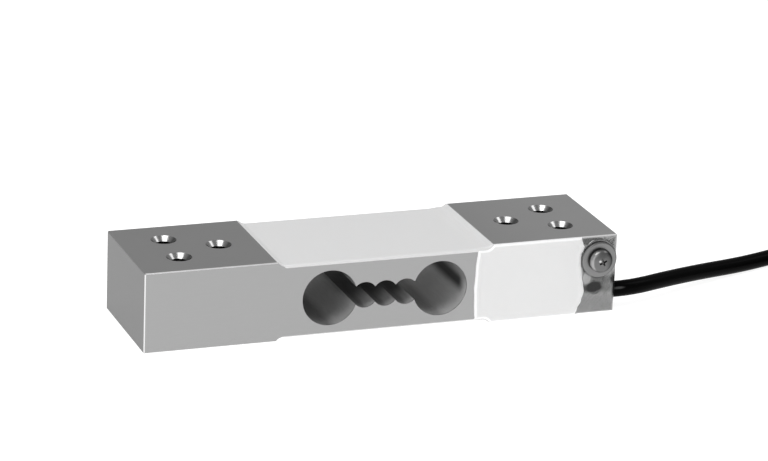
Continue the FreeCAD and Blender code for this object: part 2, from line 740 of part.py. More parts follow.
tip_r = amount("tip_radius")
mouth = sleeve_foot + tail * amount("sleeve_length")
flat_tail = Vector(tail.x, tail.y, 0).normalize()
left_of_tail = Vector(-flat_tail.y, flat_tail.x, 0)
over_tail = tail.cross(left_of_tail)
LEAD_FAN = ((1, 1, 9.5, 24.0), (1, -1, 3.6, 22.5), (-1, -1, -2.8, 23.5), (-1, 1, -8.5, 22.0))
tips = []
for color, (side, level, fan, reach) in zip(CORES, LEAD_FAN):
    foot = mouth + left_of_tail * side * core_spread + over_tail * level * core_spread
    floor_z = core_r + 0.02
    points = [foot]
    for share in (0.16, 0.32, 0.5, 0.7, 1.0):
        sideways = left_of_tail * (fan * share**1.6 - side * core_spread * share)
        drop = Vector(0, 0, (foot.z - floor_z) * max(1 - share / 0.7, 0)**1.3)
        spot = foot + flat_tail * reach * share + sideways
        points.append(Vector(spot.x, spot.y, floor_z) + drop)
    points[1] = foot + tail * (points[1] - foot).Length
    subpart(mitred(f"lead_{color}", points, core_r), f"lead_core_{color}")
    tip = doc.addObject("Part::Prism", f"tip_{color}")
    tip.Polygon = 8
    bind(tip, {"Circumradius": "tip_radius", "Height": "tip_length"})
    tip.Placement = FreeCAD.Placement(
        points[-1], FreeCAD.Rotation(Vector(0, 0, 1), (points[-1] - points[-2]).normalize()))
    tips.append(tip)
group("core_tips", tips)

# Resin round the lead in its bore, and in the port that reaches the bore
seal = turned("entry_seal", [
    ("lead_radius - entry_clearance/2", "-entry_seal_depth"), (ENTRY_RADIUS, "-entry_seal_depth"),
    (ENTRY_RADIUS, "0"), ("entry_bead_radius", "0"),
    ("lead_radius - entry_clearance/2", "entry_bead_height")], 90.0, Vector(0, 1, 0))
place(seal, BAR_END, LEAD_Y, "lead_height")
entry_resin = subpart(cut("entry_resin", seal, [lead_tube]), "entry_resin")

plug = doc.addObject("Part::Cylinder", "port_plug")
bind(plug, {"Radius": "port_radius", "Height": "port_depth"})
plug.Placement.Rotation = FreeCAD.Rotation(Vector(1, 0, 0), -90)
place(plug, f"{BAR_END} - port_from_end", FRONT, "port_height")
bore_space = doc.addObject("Part::Cylinder", "bore_space")
bind(bore_space, {"Radius": ENTRY_RADIUS, "Height": "pocket_from_end"})
bore_space.Placement.Rotation = FreeCAD.Rotation(Vector(0, 1, 0), 90)
place(bore_space, f"{BAR_END} - pocket_from_end", LEAD_Y, "lead_height")
port_resin = subpart(cut("port_resin", plug, [bore_space]), "port_resin")

# Ground screw, its washer and the solder tag under it
tag = new_body("tag")
tag_ring = new_sketch(tag, "tag_ring", "XZ_Plane")
add_circle(tag_ring, "0", "0", "tag_radius")
feature(tag, "Pad", "ring", tag_ring, "tag_thickness")
tag_tail = new_sketch(tag, "tag_tail", "XZ_Plane")
add_outline(tag_tail, [
    ("0", "-tag_tail_width*0.75"), ("tag_tail_length - tag_tail_width/2", "-tag_tail_width/2"),
    ("tag_tail_length", "-tag_tail_width/4"), ("tag_tail_length", "tag_tail_width/4"),
    ("tag_tail_length - tag_tail_width/2", "tag_tail_width/2"), ("0", "tag_tail_width*0.75")])
feature(tag, "Pad", "tail", tag_tail, "tag_thickness")
tag_hole = new_sketch(tag, "tag_hole", "XZ_Plane", "tag_thickness")
add_circle(tag_hole, "0", "0", "tag_hole_radius")
feature(tag, "Pocket", "hole", tag_hole, "tag_thickness")
tag.Placement.Rotation = FreeCAD.Rotation(Vector(0, -1, 0), amount("tag_angle"))
place(tag, SCREW_X, FRONT, "screw_height")
subpart(tag, "solder_tag")

washer = new_body("washer")
washer_rings = new_sketch(washer, "washer_rings", "XZ_Plane")
add_circle(washer_rings, "0", "0", "washer_radius")
add_circle(washer_rings, "0", "0", "washer_hole_radius")
feature(washer, "Pad", "disc", washer_rings, "washer_thickness")
place(washer, SCREW_X, f"{FRONT} - tag_thickness", "screw_height")
subpart(washer, "ground_washer")

screw = turned("screw", [
    ("0", "-(screw_reach + tag_thickness + washer_thickness)"),
    ("screw_shank_radius", "-(screw_reach + tag_thickness + washer_thickness)"),
    ("screw_shank_radius", "0"), ("head_radius", "0"), ("head_radius", "head_rim"),
    ("head_shoulder", "head_rim + head_rise*0.7"), ("head_crown", "head_rim + head_rise"),
    ("0", "head_rim + head_rise")], 90.0, Vector(1, 0, 0))
cross = new_sketch(screw, "cross_outline", "XY_Plane", "head_rim + head_rise")
SPAN, ARM = "cross_span/2", "cross_width/2"
add_outline(cross, [
    (SPAN, f"-{ARM}"), (SPAN, ARM), (ARM, ARM), (ARM, SPAN), (f"-{ARM}", SPAN), (f"-{ARM}", ARM),
    (f"-{SPAN}", ARM), (f"-{SPAN}", f"-{ARM}"), (f"-{ARM}", f"-{ARM}"), (f"-{ARM}", f"-{SPAN}"),
    (ARM, f"-{SPAN}"), (ARM, f"-{ARM}")])
feature(screw, "Pocket", "cross", cross, "cross_depth")
place(screw, SCREW_X, SEAT_Y, "screw_height")
subpart(screw, "ground_screw")

# Drain wire from the lead's screen, out of the pocket and up to the solder tag
drain_r = amount("drain_radius")
out_y = amount(FRONT) - drain_r - 0.05
tail_angle = math.radians(amount("tag_angle"))
along_tag = Vector(math.cos(tail_angle), 0, math.sin(tail_angle))
tag_end = Vector(amount(SCREW_X), out_y, amount("screw_height"))
tag_end += along_tag * (amount("tag_tail_length") + 0.03)
pocket_top = amount(f"{MIDDLE_Z} + pocket_height/2")
drain_y = lead_start.y - 1.9
exit_x = lead_start.x - 1.0
drain_route = [
    (lead_start.x, drain_y, lead_start.z), (exit_x, drain_y, lead_start.z),
    (exit_x, drain_y, pocket_top - 6.0), (exit_x, out_y, pocket_top - 2.0),
    tuple(tag_end + along_tag * 1.6), tuple(tag_end)]
subpart(mitred("drain", drain_route, drain_r), "drain_wire")


# Silicone coats on the neck
def neck_coat(face):
    """Silicone that fills a recess's ramps and lies in one thickness on the neck's face."""
    body = new_body(f"coat_{face}")
    section = new_sketch(body, f"coat_{face}_section", "XZ_Plane")
    up = "" if face == "top" else "-"
    turn = -1 if face == "top" else 1
    inner = "(recess_radius - neck_coat)"
    inner_ramp = f"sqrt({inner}^2 - (recess_radius - recess_depth)^2)"
    surface = f"(bar_height/2 - recess_depth + neck_coat)"
    corners = [
        (f"-{RECESS}", f"{up}{HALF}", "recess_radius", -turn),
        (f"-{FOOT}", f"{up}{FLOOR}"), (FOOT, f"{up}{FLOOR}", "recess_radius", -turn),
        (RECESS, f"{up}{HALF}"), (f"({FOOT} + {inner_ramp})", f"{up}{HALF}", inner, turn),
        (FOOT, f"{up}{surface}"), (f"-{FOOT}", f"{up}{surface}", inner, turn),
        (f"-({FOOT} + {inner_ramp})", f"{up}{HALF}")]
    add_outline(section, corners)
    feature(body, "Pad", f"coat_{face}_layer", section, "bar_width - 2*neck_coat_margin",
            SideType="Symmetric")
    place(body, BAR_X, "0", "bar_height/2")
    return subpart(cut(f"{face}_coat", body, inner_pieces[face]), f"{face}_coat")


top_coat = neck_coat("top")
bottom_coat = neck_coat("bottom")

# Silicone on the side, which also fills the pocket and the channels
blank = new_body("side_blank")
blank_outline = new_sketch(blank, "side_outline", "XZ_Plane", "bar_width/2 + side_coat")
add_outline(blank_outline, [
    (COAT_START, f"-{FLOOR}"), (FOOT, f"-{FLOOR}", "recess_radius", -1), (RECESS, f"-{HALF}"),
    (COAT_LOW, f"-{HALF}"), (COAT_MIDDLE, "0"),
    (COAT_TOP, HALF), (RECESS, HALF, "recess_radius", -1), (FOOT, FLOOR),
    (COAT_START, FLOOR)])
blank_pad = feature(blank, "Pad", "side_layer", blank_outline, "side_coat + channel_depth",
                    Reversed=True)
doc.recompute()
front_y = -amount("bar_width/2 + side_coat")
thinned = blank.newObject("PartDesign::Chamfer", "thin_edge")
thinned.Base = (blank_pad, edges_where(blank_pad.Shape, lambda point: near(point.y, front_y)))
bind(thinned, {"Size": "side_coat_bevel"})
filling = new_sketch(blank, "filling_outline", "XZ_Plane", "bar_width/2")
pocket_outline(filling)
feature(blank, "Pad", "pocket_filling", filling, "pocket_depth", Reversed=True)
place(blank, BAR_X, "0", "bar_height/2")
doc.recompute()
by_label = {thing.Label: thing for thing in subparts}
buried = ["spring_body", "trimming_board", "board_pads", "trimming_resistors", "lead_tube",
          "entry_resin", "drain_wire", "solder_tag", "ground_washer", "bridge_wires_top",
          "bridge_wires_bottom", "top_coat", "bottom_coat"]
buried += [f"board_core_{color}" for color in CORES]
subpart(cut("side_silicone", blank, [by_label[label] for label in buried]), "side_coat")

# Clear lacquer on the bare metal round the ground screw
film = box("film", f"{BAR_X} + {COAT_LOW}", f"{FRONT} - lacquer_thickness",
           "edge_break + lacquer_margin",
           "side_coat_short_low - edge_break - lacquer_margin", "lacquer_thickness",
           "bar_height - 2*(edge_break + lacquer_margin)")
seat = doc.addObject("Part::Cylinder", "tag_seat")
bind(seat, {"Radius": "tag_radius", "Height": "tag_thickness"})
seat.Placement.Rotation = FreeCAD.Rotation(Vector(1, 0, 0), 90)
place(seat, SCREW_X, FRONT, "screw_height")
subpart(cut("lacquer", film, [blank, tag, seat]), "lacquer_film")

doc.recompute()

# Every object has to be sound before anything is written
for thing in doc.Objects:
    if "Invalid" in thing.State or "Error" in thing.State:
        raise RuntimeError(f"{thing.Label} failed: {thing.State}")
for thing in subparts:
    shape = thing.Shape
    if shape.isNull() or not shape.isValid() or not shape.Solids:
        raise RuntimeError(f"{thing.Label} has no sound solid")
for thing in subparts:
    thing.Shape.exportStep(f"parts/{thing.Label}.step")
print(f"{len(subparts)} sub-parts")
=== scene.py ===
import math

import bmesh
import bpy
from mathutils import Matrix, Vector, noise


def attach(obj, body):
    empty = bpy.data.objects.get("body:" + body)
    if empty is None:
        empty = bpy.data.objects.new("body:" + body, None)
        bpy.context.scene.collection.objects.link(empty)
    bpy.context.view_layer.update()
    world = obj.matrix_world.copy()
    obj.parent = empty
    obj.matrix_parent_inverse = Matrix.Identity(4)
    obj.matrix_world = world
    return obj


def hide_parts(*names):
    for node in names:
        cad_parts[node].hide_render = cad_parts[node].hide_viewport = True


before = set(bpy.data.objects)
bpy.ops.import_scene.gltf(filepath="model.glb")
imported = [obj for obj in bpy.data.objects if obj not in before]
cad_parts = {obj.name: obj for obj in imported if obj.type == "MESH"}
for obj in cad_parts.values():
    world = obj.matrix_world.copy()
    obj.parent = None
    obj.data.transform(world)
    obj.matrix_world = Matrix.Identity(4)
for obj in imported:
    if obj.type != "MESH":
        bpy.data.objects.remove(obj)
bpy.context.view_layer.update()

MM = 0.001


def mm(*numbers):
    """A point given in millimetres of the row frame."""
    return Vector(numbers) * MM


def placed(name, data):
    """A new object in the scene that holds some data."""
    thing = bpy.data.objects.new(name, data)
    bpy.context.scene.collection.objects.link(thing)
    return thing


# The bar's sizes, in millimetres as all sizes are unless a comment says otherwise
BAR_START, BAR_END, BAR_FRONT, BAR_TOP = -136.0, 14.0, -20.0, 25.0
BAR_MIDDLE_X, BAR_MIDDLE_Z = (BAR_START + BAR_END) / 2, BAR_TOP / 2
# Tapped holes along and across from the bar's middle, each with a twin at the other end
TAP_SPOTS = [(61.0, -8.0), (61.0, 8.0), (46.25, 0.0)]


# Camera and studio
PHOTO_WIDTH, FOCAL_PIXELS, SENSOR_WIDTH = 768, 3581.0, 36.0
VIEW_TURN, VIEW_RISE, VIEW_ROLL = (math.radians(angle) for angle in (-20.734, 18.873, 2.268))
VIEW_DISTANCE, VIEW_RIGHT, VIEW_UP = 1093.0, 6.897, 24.179
CLIP_START, CLIP_END = 10.0, 50000.0


def add_camera():
    """The photograph's view of the bar."""
    back = Vector((math.sin(VIEW_TURN) * math.cos(VIEW_RISE),
                   -math.cos(VIEW_TURN) * math.cos(VIEW_RISE), math.sin(VIEW_RISE)))
    right = Vector((0, 0, 1)).cross(back).normalized()
    up = back.cross(right)
    rolled_right = right * math.cos(VIEW_ROLL) + up * math.sin(VIEW_ROLL)
    rolled_up = up * math.cos(VIEW_ROLL) - right * math.sin(VIEW_ROLL)
    place = rolled_right * VIEW_RIGHT + rolled_up * VIEW_UP + back * VIEW_DISTANCE
    place.x += BAR_MIDDLE_X
    data = bpy.data.cameras.new("studio_camera")
    data.sensor_width = SENSOR_WIDTH
    data.lens = FOCAL_PIXELS * SENSOR_WIDTH / PHOTO_WIDTH
    data.clip_start, data.clip_end = CLIP_START * MM, CLIP_END * MM
    turn = Matrix((rolled_right, rolled_up, back)).transposed().to_4x4()
    camera = placed("studio_camera", data)
    camera.matrix_world = Matrix.Translation(place * MM) @ turn
    bpy.context.scene.camera = camera


# Each lamp's place in metres, its width in metres and its brightness
LAMP_AIM = (-0.06, 0.0, 0.012)
LAMPS = {
    "overhead_box": ((-0.33, -0.20, 0.93), 0.60, 4.9),
    "right_box": ((0.82, -0.10, 0.88), 0.45, 3.5),
    "left_box": ((-1.10, -0.75, 0.30), 0.50, 1.8),
    "front_box": ((-0.50, -1.50, 0.75), 0.90, 1.6),
}
ROOM_GREY = 0.45


def add_softbox(name, place, width, radiance):
    """A round lamp of even brightness that faces the bar."""
    data = bpy.data.lights.new(name, "AREA")
    data.shape = "DISK"
    data.size = width
    data.energy = radiance * (math.pi * width / 2)**2
    lamp = placed(name, data)
    lamp.location = place
    lamp.rotation_euler = (Vector(LAMP_AIM) - Vector(place)).to_track_quat("-Z", "Y").to_euler()


def light_studio():
    """An even grey room with four lamps."""
    world = bpy.data.worlds.new("studio")
    world.use_nodes = True
    room = world.node_tree.nodes["Background"].inputs["Color"]
    room.default_value = (ROOM_GREY, ROOM_GREY, ROOM_GREY, 1.0)
    bpy.context.scene.world = world
    bpy.context.scene.view_settings.view_transform = "Standard"
    for name, (place, width, radiance) in LAMPS.items():
        add_softbox(name, place, width, radiance)


# Tools for finishes
class Wire:
    """An output socket of a finish's nodes, for shader maths as plain expressions."""

    def __init__(self, finish, socket):
        self.finish, self.socket = finish, socket

    def maths(self, operation, *others):
        """This value and others through one Math node."""
        inputs = dict(enumerate((self, *others)))
        return self.finish.add("ShaderNodeMath", {"operation": operation}, inputs)

    def __add__(self, other):
        return self.maths("ADD", other)

    def __sub__(self, other):
        return self.maths("SUBTRACT", other)

    def __rsub__(self, other):
        return self * -1.0 + other

    def __mul__(self, other):
        return self.maths("MULTIPLY", other)

    def __truediv__(self, other):
        return self.maths("DIVIDE", other)

    def __abs__(self):
        return self.maths("ABSOLUTE")

    __radd__, __rmul__ = __add__, __mul__

    def between(self, low, high):
        """0 up to low, 1 from high on, and a smooth rise from one to the other."""
        return self.finish.add("ShaderNodeMapRange", {"interpolation_type": "SMOOTHSTEP"},
                               {"Value": self, "From Min": low, "From Max": high})

    def within(self, limit, blur):
        """1 below a limit and 0 above it, with a smooth fall a blur wide on either side."""
        return 1 - self.between(limit - blur, limit + blur)


class Finish:
    """A procedural material as it is being made."""

    def __init__(self, name):
        self.material = bpy.data.materials.new(name)
        self.material.use_nodes = True
        self.nodes = self.material.node_tree.nodes
        self.links = self.material.node_tree.links
        self.nodes.clear()

    def add(self, kind, settings=None, inputs=None, output=0):
        """One node: its type, its settings, and the values or links of its sockets."""
        node = self.nodes.new(kind)
        for key, value in (settings or {}).items():
            setattr(node, key, value)
        for key, value in (inputs or {}).items():
            if isinstance(value, Wire):
                self.links.new(value.socket, node.inputs[key])
            else:
                node.inputs[key].default_value = value
        return Wire(self, node.outputs[output]) if node.outputs else None

    def axes(self, vector, names):
        """Some of a vector's parts, named by their axes."""
        apart = self.add("ShaderNodeSeparateXYZ", inputs={0: vector}).socket.node.outputs
        return [Wire(self, apart["XYZ".index(name)]) for name in names]

    def own_space(self):
        """The object's own coordinates as one vector in metres."""
        return self.add("ShaderNodeTexCoord", output="Object")

    def spot(self, names="XYZ"):
        """The object's own coordinates along some axes, in millimetres."""
        return [part / MM for part in self.axes(self.own_space(), names)]

    def facing(self):
        """The way the surface faces, along each axis."""
        return self.axes(self.add("ShaderNodeNewGeometry", output="Normal"), "XYZ")

    def grain(self, size, stretch=(1, 1, 1), detail=3.0):
        """Noise from 0 to 1 whose blotches are about a size in millimetres."""
        scale = tuple(1 / (size * MM * part) for part in stretch)
        scaled = self.add("ShaderNodeMapping", inputs={"Vector": self.own_space(),
                                                       "Scale": scale})
        return self.add("ShaderNodeTexNoise", inputs={
            "Vector": scaled, "Scale": 1.0, "Detail": detail, "Roughness": 0.55})

    def blend(self, share, first, second):
        """A colour between two colours, each a link or four numbers."""
        return self.add("ShaderNodeMix", {"data_type": "RGBA"},
                        {"Factor": share, 6: first, 7: second}, output=2)

    def tone(self, share, dark, light):
        """A colour between two colours of three numbers, or between two greys."""
        dark, light = ((*(c if isinstance(c, tuple) else (c, c, c)), 1.0) for c in (dark, light))
        return self.blend(share, dark, light)

    def bump(self, height, depth, strength=0.5):
        """A surface raised by a pattern, whose height of 1 is a depth in millimetres."""
        return self.add("ShaderNodeBump", inputs={
            "Height": height, "Distance": depth * MM, "Strength": strength})

    def shader(self, **inputs):
        """Close the finish with one shader, whose sockets are named with underscores."""
        sockets = {key.replace("_", " "): value for key, value in inputs.items()}
        skin = self.add("ShaderNodeBsdfPrincipled", inputs=sockets)
        self.add("ShaderNodeOutputMaterial", inputs={"Surface": skin})
        return self.material


def patch(first, second, centre, radii, blur):
    """1 inside an ellipse and 0 outside, blurred by a share of its size."""
    across, up = ((value - middle) / radius
                  for value, middle, radius in zip((first, second), centre, radii))
    return (across * across + up * up).maths("SQRT").within(1, blur)


# Finishes, with how far the bores, their link and the threads reach from the bar's middle
BORE_FRONT, BORE_RISE, BORE_REACH, LINK_REACH = 19.65, 9.0, 26.8, 9.5
THREAD_REACH = 11.0
HOLE_RADII, HOLE_BLUR = (4.2, 4.2), 0.012

# Marks on the front, as an ellipse's centre, radii and blur: a dark patch by the lead's exit, a
# painted highlight on the jacket and a painted glint on the screw's head
EXIT_DARK_PATCH = ((13.75, 8.6), (0.7, 4.2), 0.35)
JACKET_HIGHLIGHT = ((16.0, 6.95), (1.7, 0.32), 0.6)
SCREW_GLINT = ((6.85, 18.1), (0.36, 0.31), 0.6)


def bore_color(f, from_middle, into_bar, facing_x, facing_z, texture):
    """The drilled bores: streaked walls, with painted light where the walls face up and to the
    left and in the right bore, painted shade deep in the link between them, and a darker strip
    of painted shade in the right bore."""
    # Painted light: the right bore is paler all over
    right_bore = from_middle.between(8.0, 10.0)
    # Painted light on the walls that face up and to the left
    painted_lit_side = facing_z.between(-0.35, 0.10) * (1 - facing_x.between(-0.36, 0.08))
    streaks = f.grain(0.5, (1, 9, 1))
    color = f.tone(streaks * 0.25 + right_bore * 0.28 + painted_lit_side * 0.47, 0.15, 0.58)
    # Painted shade deep in the link between the bores
    link_shade = abs(from_middle).within(LINK_REACH, 1.0) * into_bar.between(4.0, 15.0)
    color = f.blend(link_shade, color, f.tone(texture, 0.10, 0.14))
    # Painted shade in one strip of the right bore
    strip = (1 - abs(facing_z - 0.07).between(0.06, 0.42)) * (1 - facing_x.between(-0.8, -0.5))
    shaded = right_bore * strip * into_bar.between(1.0, 7.0)
    return f.blend(shaded, color, f.tone(texture, 0.035, 0.055))


def hole_color(f, facing_x, facing_y, off_middle_z, texture):
    """The tapped holes: painted shade on the left and right walls of a mouth, paler on its near
    and far walls, and painted shade beyond the mouth.
    """
    across = abs(facing_x) / (abs(facing_x) + abs(facing_y) + 0.001)
    # Painted shade where a mouth's wall faces left or right
    mouth = f.tone(across.between(0.55, 0.85) + texture * 0.1, 0.31, 0.11)
    # Painted shade past the mouth, deeper in the hole
    return f.blend(off_middle_z.within(THREAD_REACH, 0.2), mouth, f.tone(texture, 0.05, 0.08))


def rim_color(f, facing_x, facing_z, texture):
    """The broken edges: painted highlights along the bar, brightest on the edges that face up or
    down, and painted shade where an end meets the top or bottom.
    """
    raised = abs(facing_z).between(0.3, 0.6)
    # Painted highlight on the broken edges, brighter where they face up or down
    bright = f.tone(texture * 0.2 + raised * 0.8, 0.72, 0.98)
    # Painted shade on the edges where an end meets the top or bottom
    at_end = abs(facing_x).between(0.3, 0.6) * raised
    return f.blend(at_end, bright, f.tone(texture, 0.38, 0.46))


def milled_aluminium():
    """The bar: a fine milled and clear anodised skin, duller on its sawn ends, with painted
    highlights along its broken edges, a painted sheen on its level faces that grows to the
    right, painted shade in its tapped holes, darker and rougher bores with painted light and
    shade in them, and a dark patch by the lead."""
    f = Finish("milled_aluminium")
    x, y, z = f.spot()
    facing_x, facing_y, facing_z = f.facing()
    cloud = f.grain(9.0, detail=4.0)
    along = f.grain(0.35, (14, 1, 1))
    speckle = f.grain(0.22, detail=2.0)
    texture = along * 0.45 + speckle * 0.35 + cloud * 0.2

    from_middle, off_middle_z = x - BAR_MIDDLE_X, abs(z - BAR_MIDDLE_Z)
    in_bore = (abs(y).within(BORE_FRONT, 0.03) * off_middle_z.within(BORE_RISE, 0.1)
               * abs(from_middle).within(BORE_REACH, 0.2))
    outside = 1 - in_bore
    sawn, upright, level = (abs(facing).between(0.9, 0.97) * outside
                            for facing in (facing_x, facing_y, facing_z))
    in_hole = sum(patch(abs(from_middle), y, spot, HOLE_RADII, HOLE_BLUR)
                  for spot in TAP_SPOTS) * (1 - level)
    flat = (sawn + level + upright).maths("MINIMUM", 1.0)
    broken = (1 - flat) * outside * (1 - in_hole)

    # Painted sheen: the level faces grow paler towards the bar's right end
    to_right = x.between(BAR_MIDDLE_X + 1, BAR_END)
    color = f.tone(texture, 0.330, 0.376)
    color = f.blend(level, color, f.tone(texture * 0.5 + to_right * 0.5, 0.345, 0.52))
    color = f.blend(sawn, color, f.tone(texture, 0.185, 0.212))
    # Painted highlights on the broken edges
    color = f.blend(broken, color, rim_color(f, facing_x, facing_z, texture))
    # Painted shade in the tapped holes
    color = f.blend(in_hole, color, hole_color(f, facing_x, facing_y, off_middle_z, texture))
    # Painted light and shade in the bores
    bores = bore_color(f, from_middle, y - BAR_FRONT, facing_x, facing_z, texture)
    color = f.blend(in_bore, color, bores)
    # A dark patch on the front by the lead's exit
    exit_dark_patch = patch(x, z, *EXIT_DARK_PATCH) * y.within(BAR_FRONT + 0.35, 0.15)
    color = f.blend(exit_dark_patch, color, f.tone(cloud, 0.004, 0.012))
    roughness = (0.34 + texture * 0.12 + sawn * 0.06 + in_bore * 0.40 - broken * 0.10
                 - in_hole * 0.16)
    return f.shader(Base_Color=color, Metallic=1 - in_bore * 0.6, Roughness=roughness,
                    Normal=f.bump(along * 0.6 + speckle * 0.4, 0.006, 0.6))


def white_rubber(name, roughness, coat, level, upright, turn):
    """Cured silicone: a white skin, a little wavy, with faint lint and pores in it. Its tones go
    from the level pair to the upright pair as it turns to face the front, as painted light and
    shade by which way it faces."""
    f = Finish(name)
    cloud = f.grain(6.0)
    pore = f.grain(0.3, detail=2.0)
    texture = cloud * 0.5 + pore * 0.5
    # Painted light and shade: the tone changes with the way the skin faces
    facing_front = abs(f.facing()[1]).between(*turn)
    color = f.blend(facing_front, f.tone(texture, *level), f.tone(texture, *upright))
    return f.shader(Base_Color=color, Roughness=roughness + cloud * 0.08,
                    Subsurface_Weight=0.12, Subsurface_Radius=(0.0012, 0.0011, 0.0010),
                    Subsurface_Scale=1.0, Coat_Weight=coat, Coat_Roughness=0.12,
                    Normal=f.bump(cloud * 0.9 + pore * 0.1, 0.02, 0.4))


# Marks in the lacquer, as an ellipse's centre, radii and blur and the mark's depth
LACQUER_DARK_PATCHES = [
    ((7.5, 8.35), (2.2, 1.7), 0.50, 1.00), ((5.3, 8.4), (2.4, 1.5), 0.50, 0.85),
    ((5.0, 23.4), (2.7, 1.7), 0.35, 0.60), ((9.3, 10.6), (3.9, 1.3), 0.50, 0.42),
    ((11.2, 8.0), (2.3, 1.4), 0.50, 0.30), ((7.9, 17.4), (5.95, 6.0), 0.06, 0.60),
    ((13.5, 10.6), (1.0, 1.8), 0.50, 0.90)]
LACQUER_PALE = [((4.45, 11.6), (1.45, 2.1), 0.30, 0.95), ((6.0, 0.8), (8.0, 3.4), 0.60, 0.45)]


def clear_film():
    """Lacquer brushed over bare metal: thin and uneven, darker in some given patches, one of
    them a ring round the washer's edge, and paler in others."""
    f = Finish("clear_lacquer")
    x, z = f.spot("XZ")
    runs = f.grain(2.2, (0.6, 1, 1))
    streak = f.grain(1.1, (2.0, 1, 0.5), 2.0)
    darkened, pale = (
        sum(patch(x, z, centre, radii, blur) * depth for centre, radii, blur, depth in spots)
        .maths("MINIMUM", 1.0) for spots in (LACQUER_DARK_PATCHES, LACQUER_PALE))
    color = f.tone(runs, (0.20, 0.21, 0.21), (0.50, 0.50, 0.49))
    color = f.blend(pale, color, f.tone(streak, 0.50, 0.62))
    color = f.blend(darkened, color, f.tone(streak, 0.004, 0.012))
    alpha = 0.10 + runs.between(0.35, 0.75) * 0.14 + streak * 0.06 + darkened * 0.85 + pale * 0.5
    return f.shader(Base_Color=color, Alpha=alpha.maths("MINIMUM", 0.96),
                    Roughness=0.12 + streak * 0.1, Specular_IOR_Level=0.3,
                    Coat_Weight=0.1, Coat_Roughness=0.05, Normal=f.bump(runs, 0.04))


def dark_resin():
    """Clear resin in a hole, dark because the hole is."""
    f = Finish("potting_resin")
    cloud = f.grain(0.8)
    return f.shader(Base_Color=f.tone(cloud, 0.015, 0.06), Roughness=0.22 + cloud * 0.1,
                    Coat_Weight=0.6, Coat_Roughness=0.08, Normal=f.bump(cloud, 0.03))


def plated_steel(name, painted_lit_side, even, painted_shade_tone, foot=None, painted_glint=None):
    """Zinc plated steel, with painted light and shade by which way it faces: it goes from its
    painted lit tone where it faces left to its even tone, and to its painted shade tone where it
    faces right. A head also has painted shade by its foot, and a painted glint at one spot."""
    f = Finish(name)
    x, y, z = f.spot()
    cloud = f.grain(1.6)
    fine = f.grain(0.12, detail=2.0)
    texture = cloud * 0.6 + fine * 0.4
    to_right = f.facing()[0] + texture * 0.1 - 0.05
    # Painted light where the surface faces left
    color = f.tone(to_right.between(-0.62, -0.32), painted_lit_side, even)
    # Painted shade where the surface faces right, and by a head's foot
    painted_shade = to_right.between(0.1, 0.5)
    if foot is not None:
        painted_shade = (painted_shade + y.between(foot - 0.4, foot)).maths("MINIMUM", 1.0)
    color = f.blend(painted_shade, color, f.tone(texture, painted_shade_tone, painted_shade_tone * 1.4))
    # A painted glint at one spot
    if painted_glint is not None:
        color = f.blend(patch(x, z, *painted_glint), color, f.tone(fine, 0.60, 0.70))
    return f.shader(Base_Color=color, Metallic=1.0, Roughness=0.26 + texture * 0.16,
                    Normal=f.bump(texture, 0.01, 0.6))


def plain_skin(name, tones, roughness, size=0.6, depth=0.01, metallic=0.0):
    """A moulded, extruded or lacquered skin with a fine grain, whose tones and roughness go
    from their first value to their second with the grain."""
    f = Finish(name)
    cloud = f.grain(size)
    low, high = roughness
    return f.shader(Base_Color=f.tone(cloud, *tones), Metallic=metallic,
                    Roughness=low + cloud * (high - low), Normal=f.bump(cloud, depth))


def metal(name, tones, roughness):
    """A bare or plated metal with a cloudy skin."""
    return plain_skin(name, tones, roughness, size=0.3, depth=0.004, metallic=1.0)


def jacket_rubber():
    """Matt black jacket, with a painted highlight streak on its front where it leaves the bar.
    """
    f = Finish("lead_jacket")
    x, y, z = f.spot()
    cloud = f.grain(0.5)
    # Painted highlight: a paler streak on the jacket's front by the bar
    painted_highlight = patch(x, z, *JACKET_HIGHLIGHT) * y.within(-18.4, 0.2)
    color = f.blend(painted_highlight, f.tone(cloud, 0.001, 0.002), f.tone(cloud, 0.05, 0.07))
    return f.shader(Base_Color=color, Specular_IOR_Level=0.02, Roughness=0.24 + cloud * 0.1,
                    Normal=f.bump(cloud, 0.008))


def glass_weave_board():
    """Green solder resist over a woven board."""
    f = Finish("solder_resist")
    warp, weft = ((thread / 0.125).maths("SINE") for thread in f.spot("XZ"))
    weave = warp * 0.25 + weft * 0.25 + 0.5
    return f.shader(Base_Color=f.tone(weave, (0.004, 0.07, 0.025), (0.01, 0.13, 0.05)),
                    Roughness=0.3, Normal=f.bump(weave, 0.01, 0.4))


def pale_floor():
    """A white sweep that the lamps make almost shadowless."""
    f = Finish("white_sweep")
    cloud = f.grain(400.0)
    return f.shader(Base_Color=f.tone(cloud, 0.41, 0.43), Roughness=0.9,
                    Emission_Color=(1.0, 1.0, 1.0, 1.0), Emission_Strength=0.87)


# Modelling helpers
SAME_SPOT = 1e-7
FRONTWARD = (0, -1, 0)


def as_mesh(name, bm):
    """A bmesh as a mesh, after which the bmesh is gone."""
    mesh = bpy.data.meshes.new(name)
    bm.to_mesh(mesh)
    bm.free()
    return mesh


def add_into(bm, other):
    """Move one bmesh's shape into another."""
    bm.from_mesh(as_mesh("moved_shape", other))


def only(kind, items):
    """The items of one kind, such as the vertices that an operator made."""
    return [item for item in items if isinstance(item, kind)]


def boundary(bm):
    """The edges of a bmesh's holes and rims."""
    return [edge for edge in bm.edges if edge.is_boundary]


def chained(bm, spots, closed=False):
    """Vertices at some spots in metres, and the edges from each to the next."""
    verts = [bm.verts.new(spot) for spot in spots]
    followers = verts[1:] + verts[:1] if closed else verts[1:]
    return verts, [bm.edges.new(pair) for pair in zip(verts, followers)]


def dressed(piece, finish, slot, *nodes):
    """Paint a piece, and let it ride on the cell's body in place of CAD nodes."""
    piece.data.materials.append(finish)
    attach(piece, "root")
    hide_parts(*nodes)
    return piece


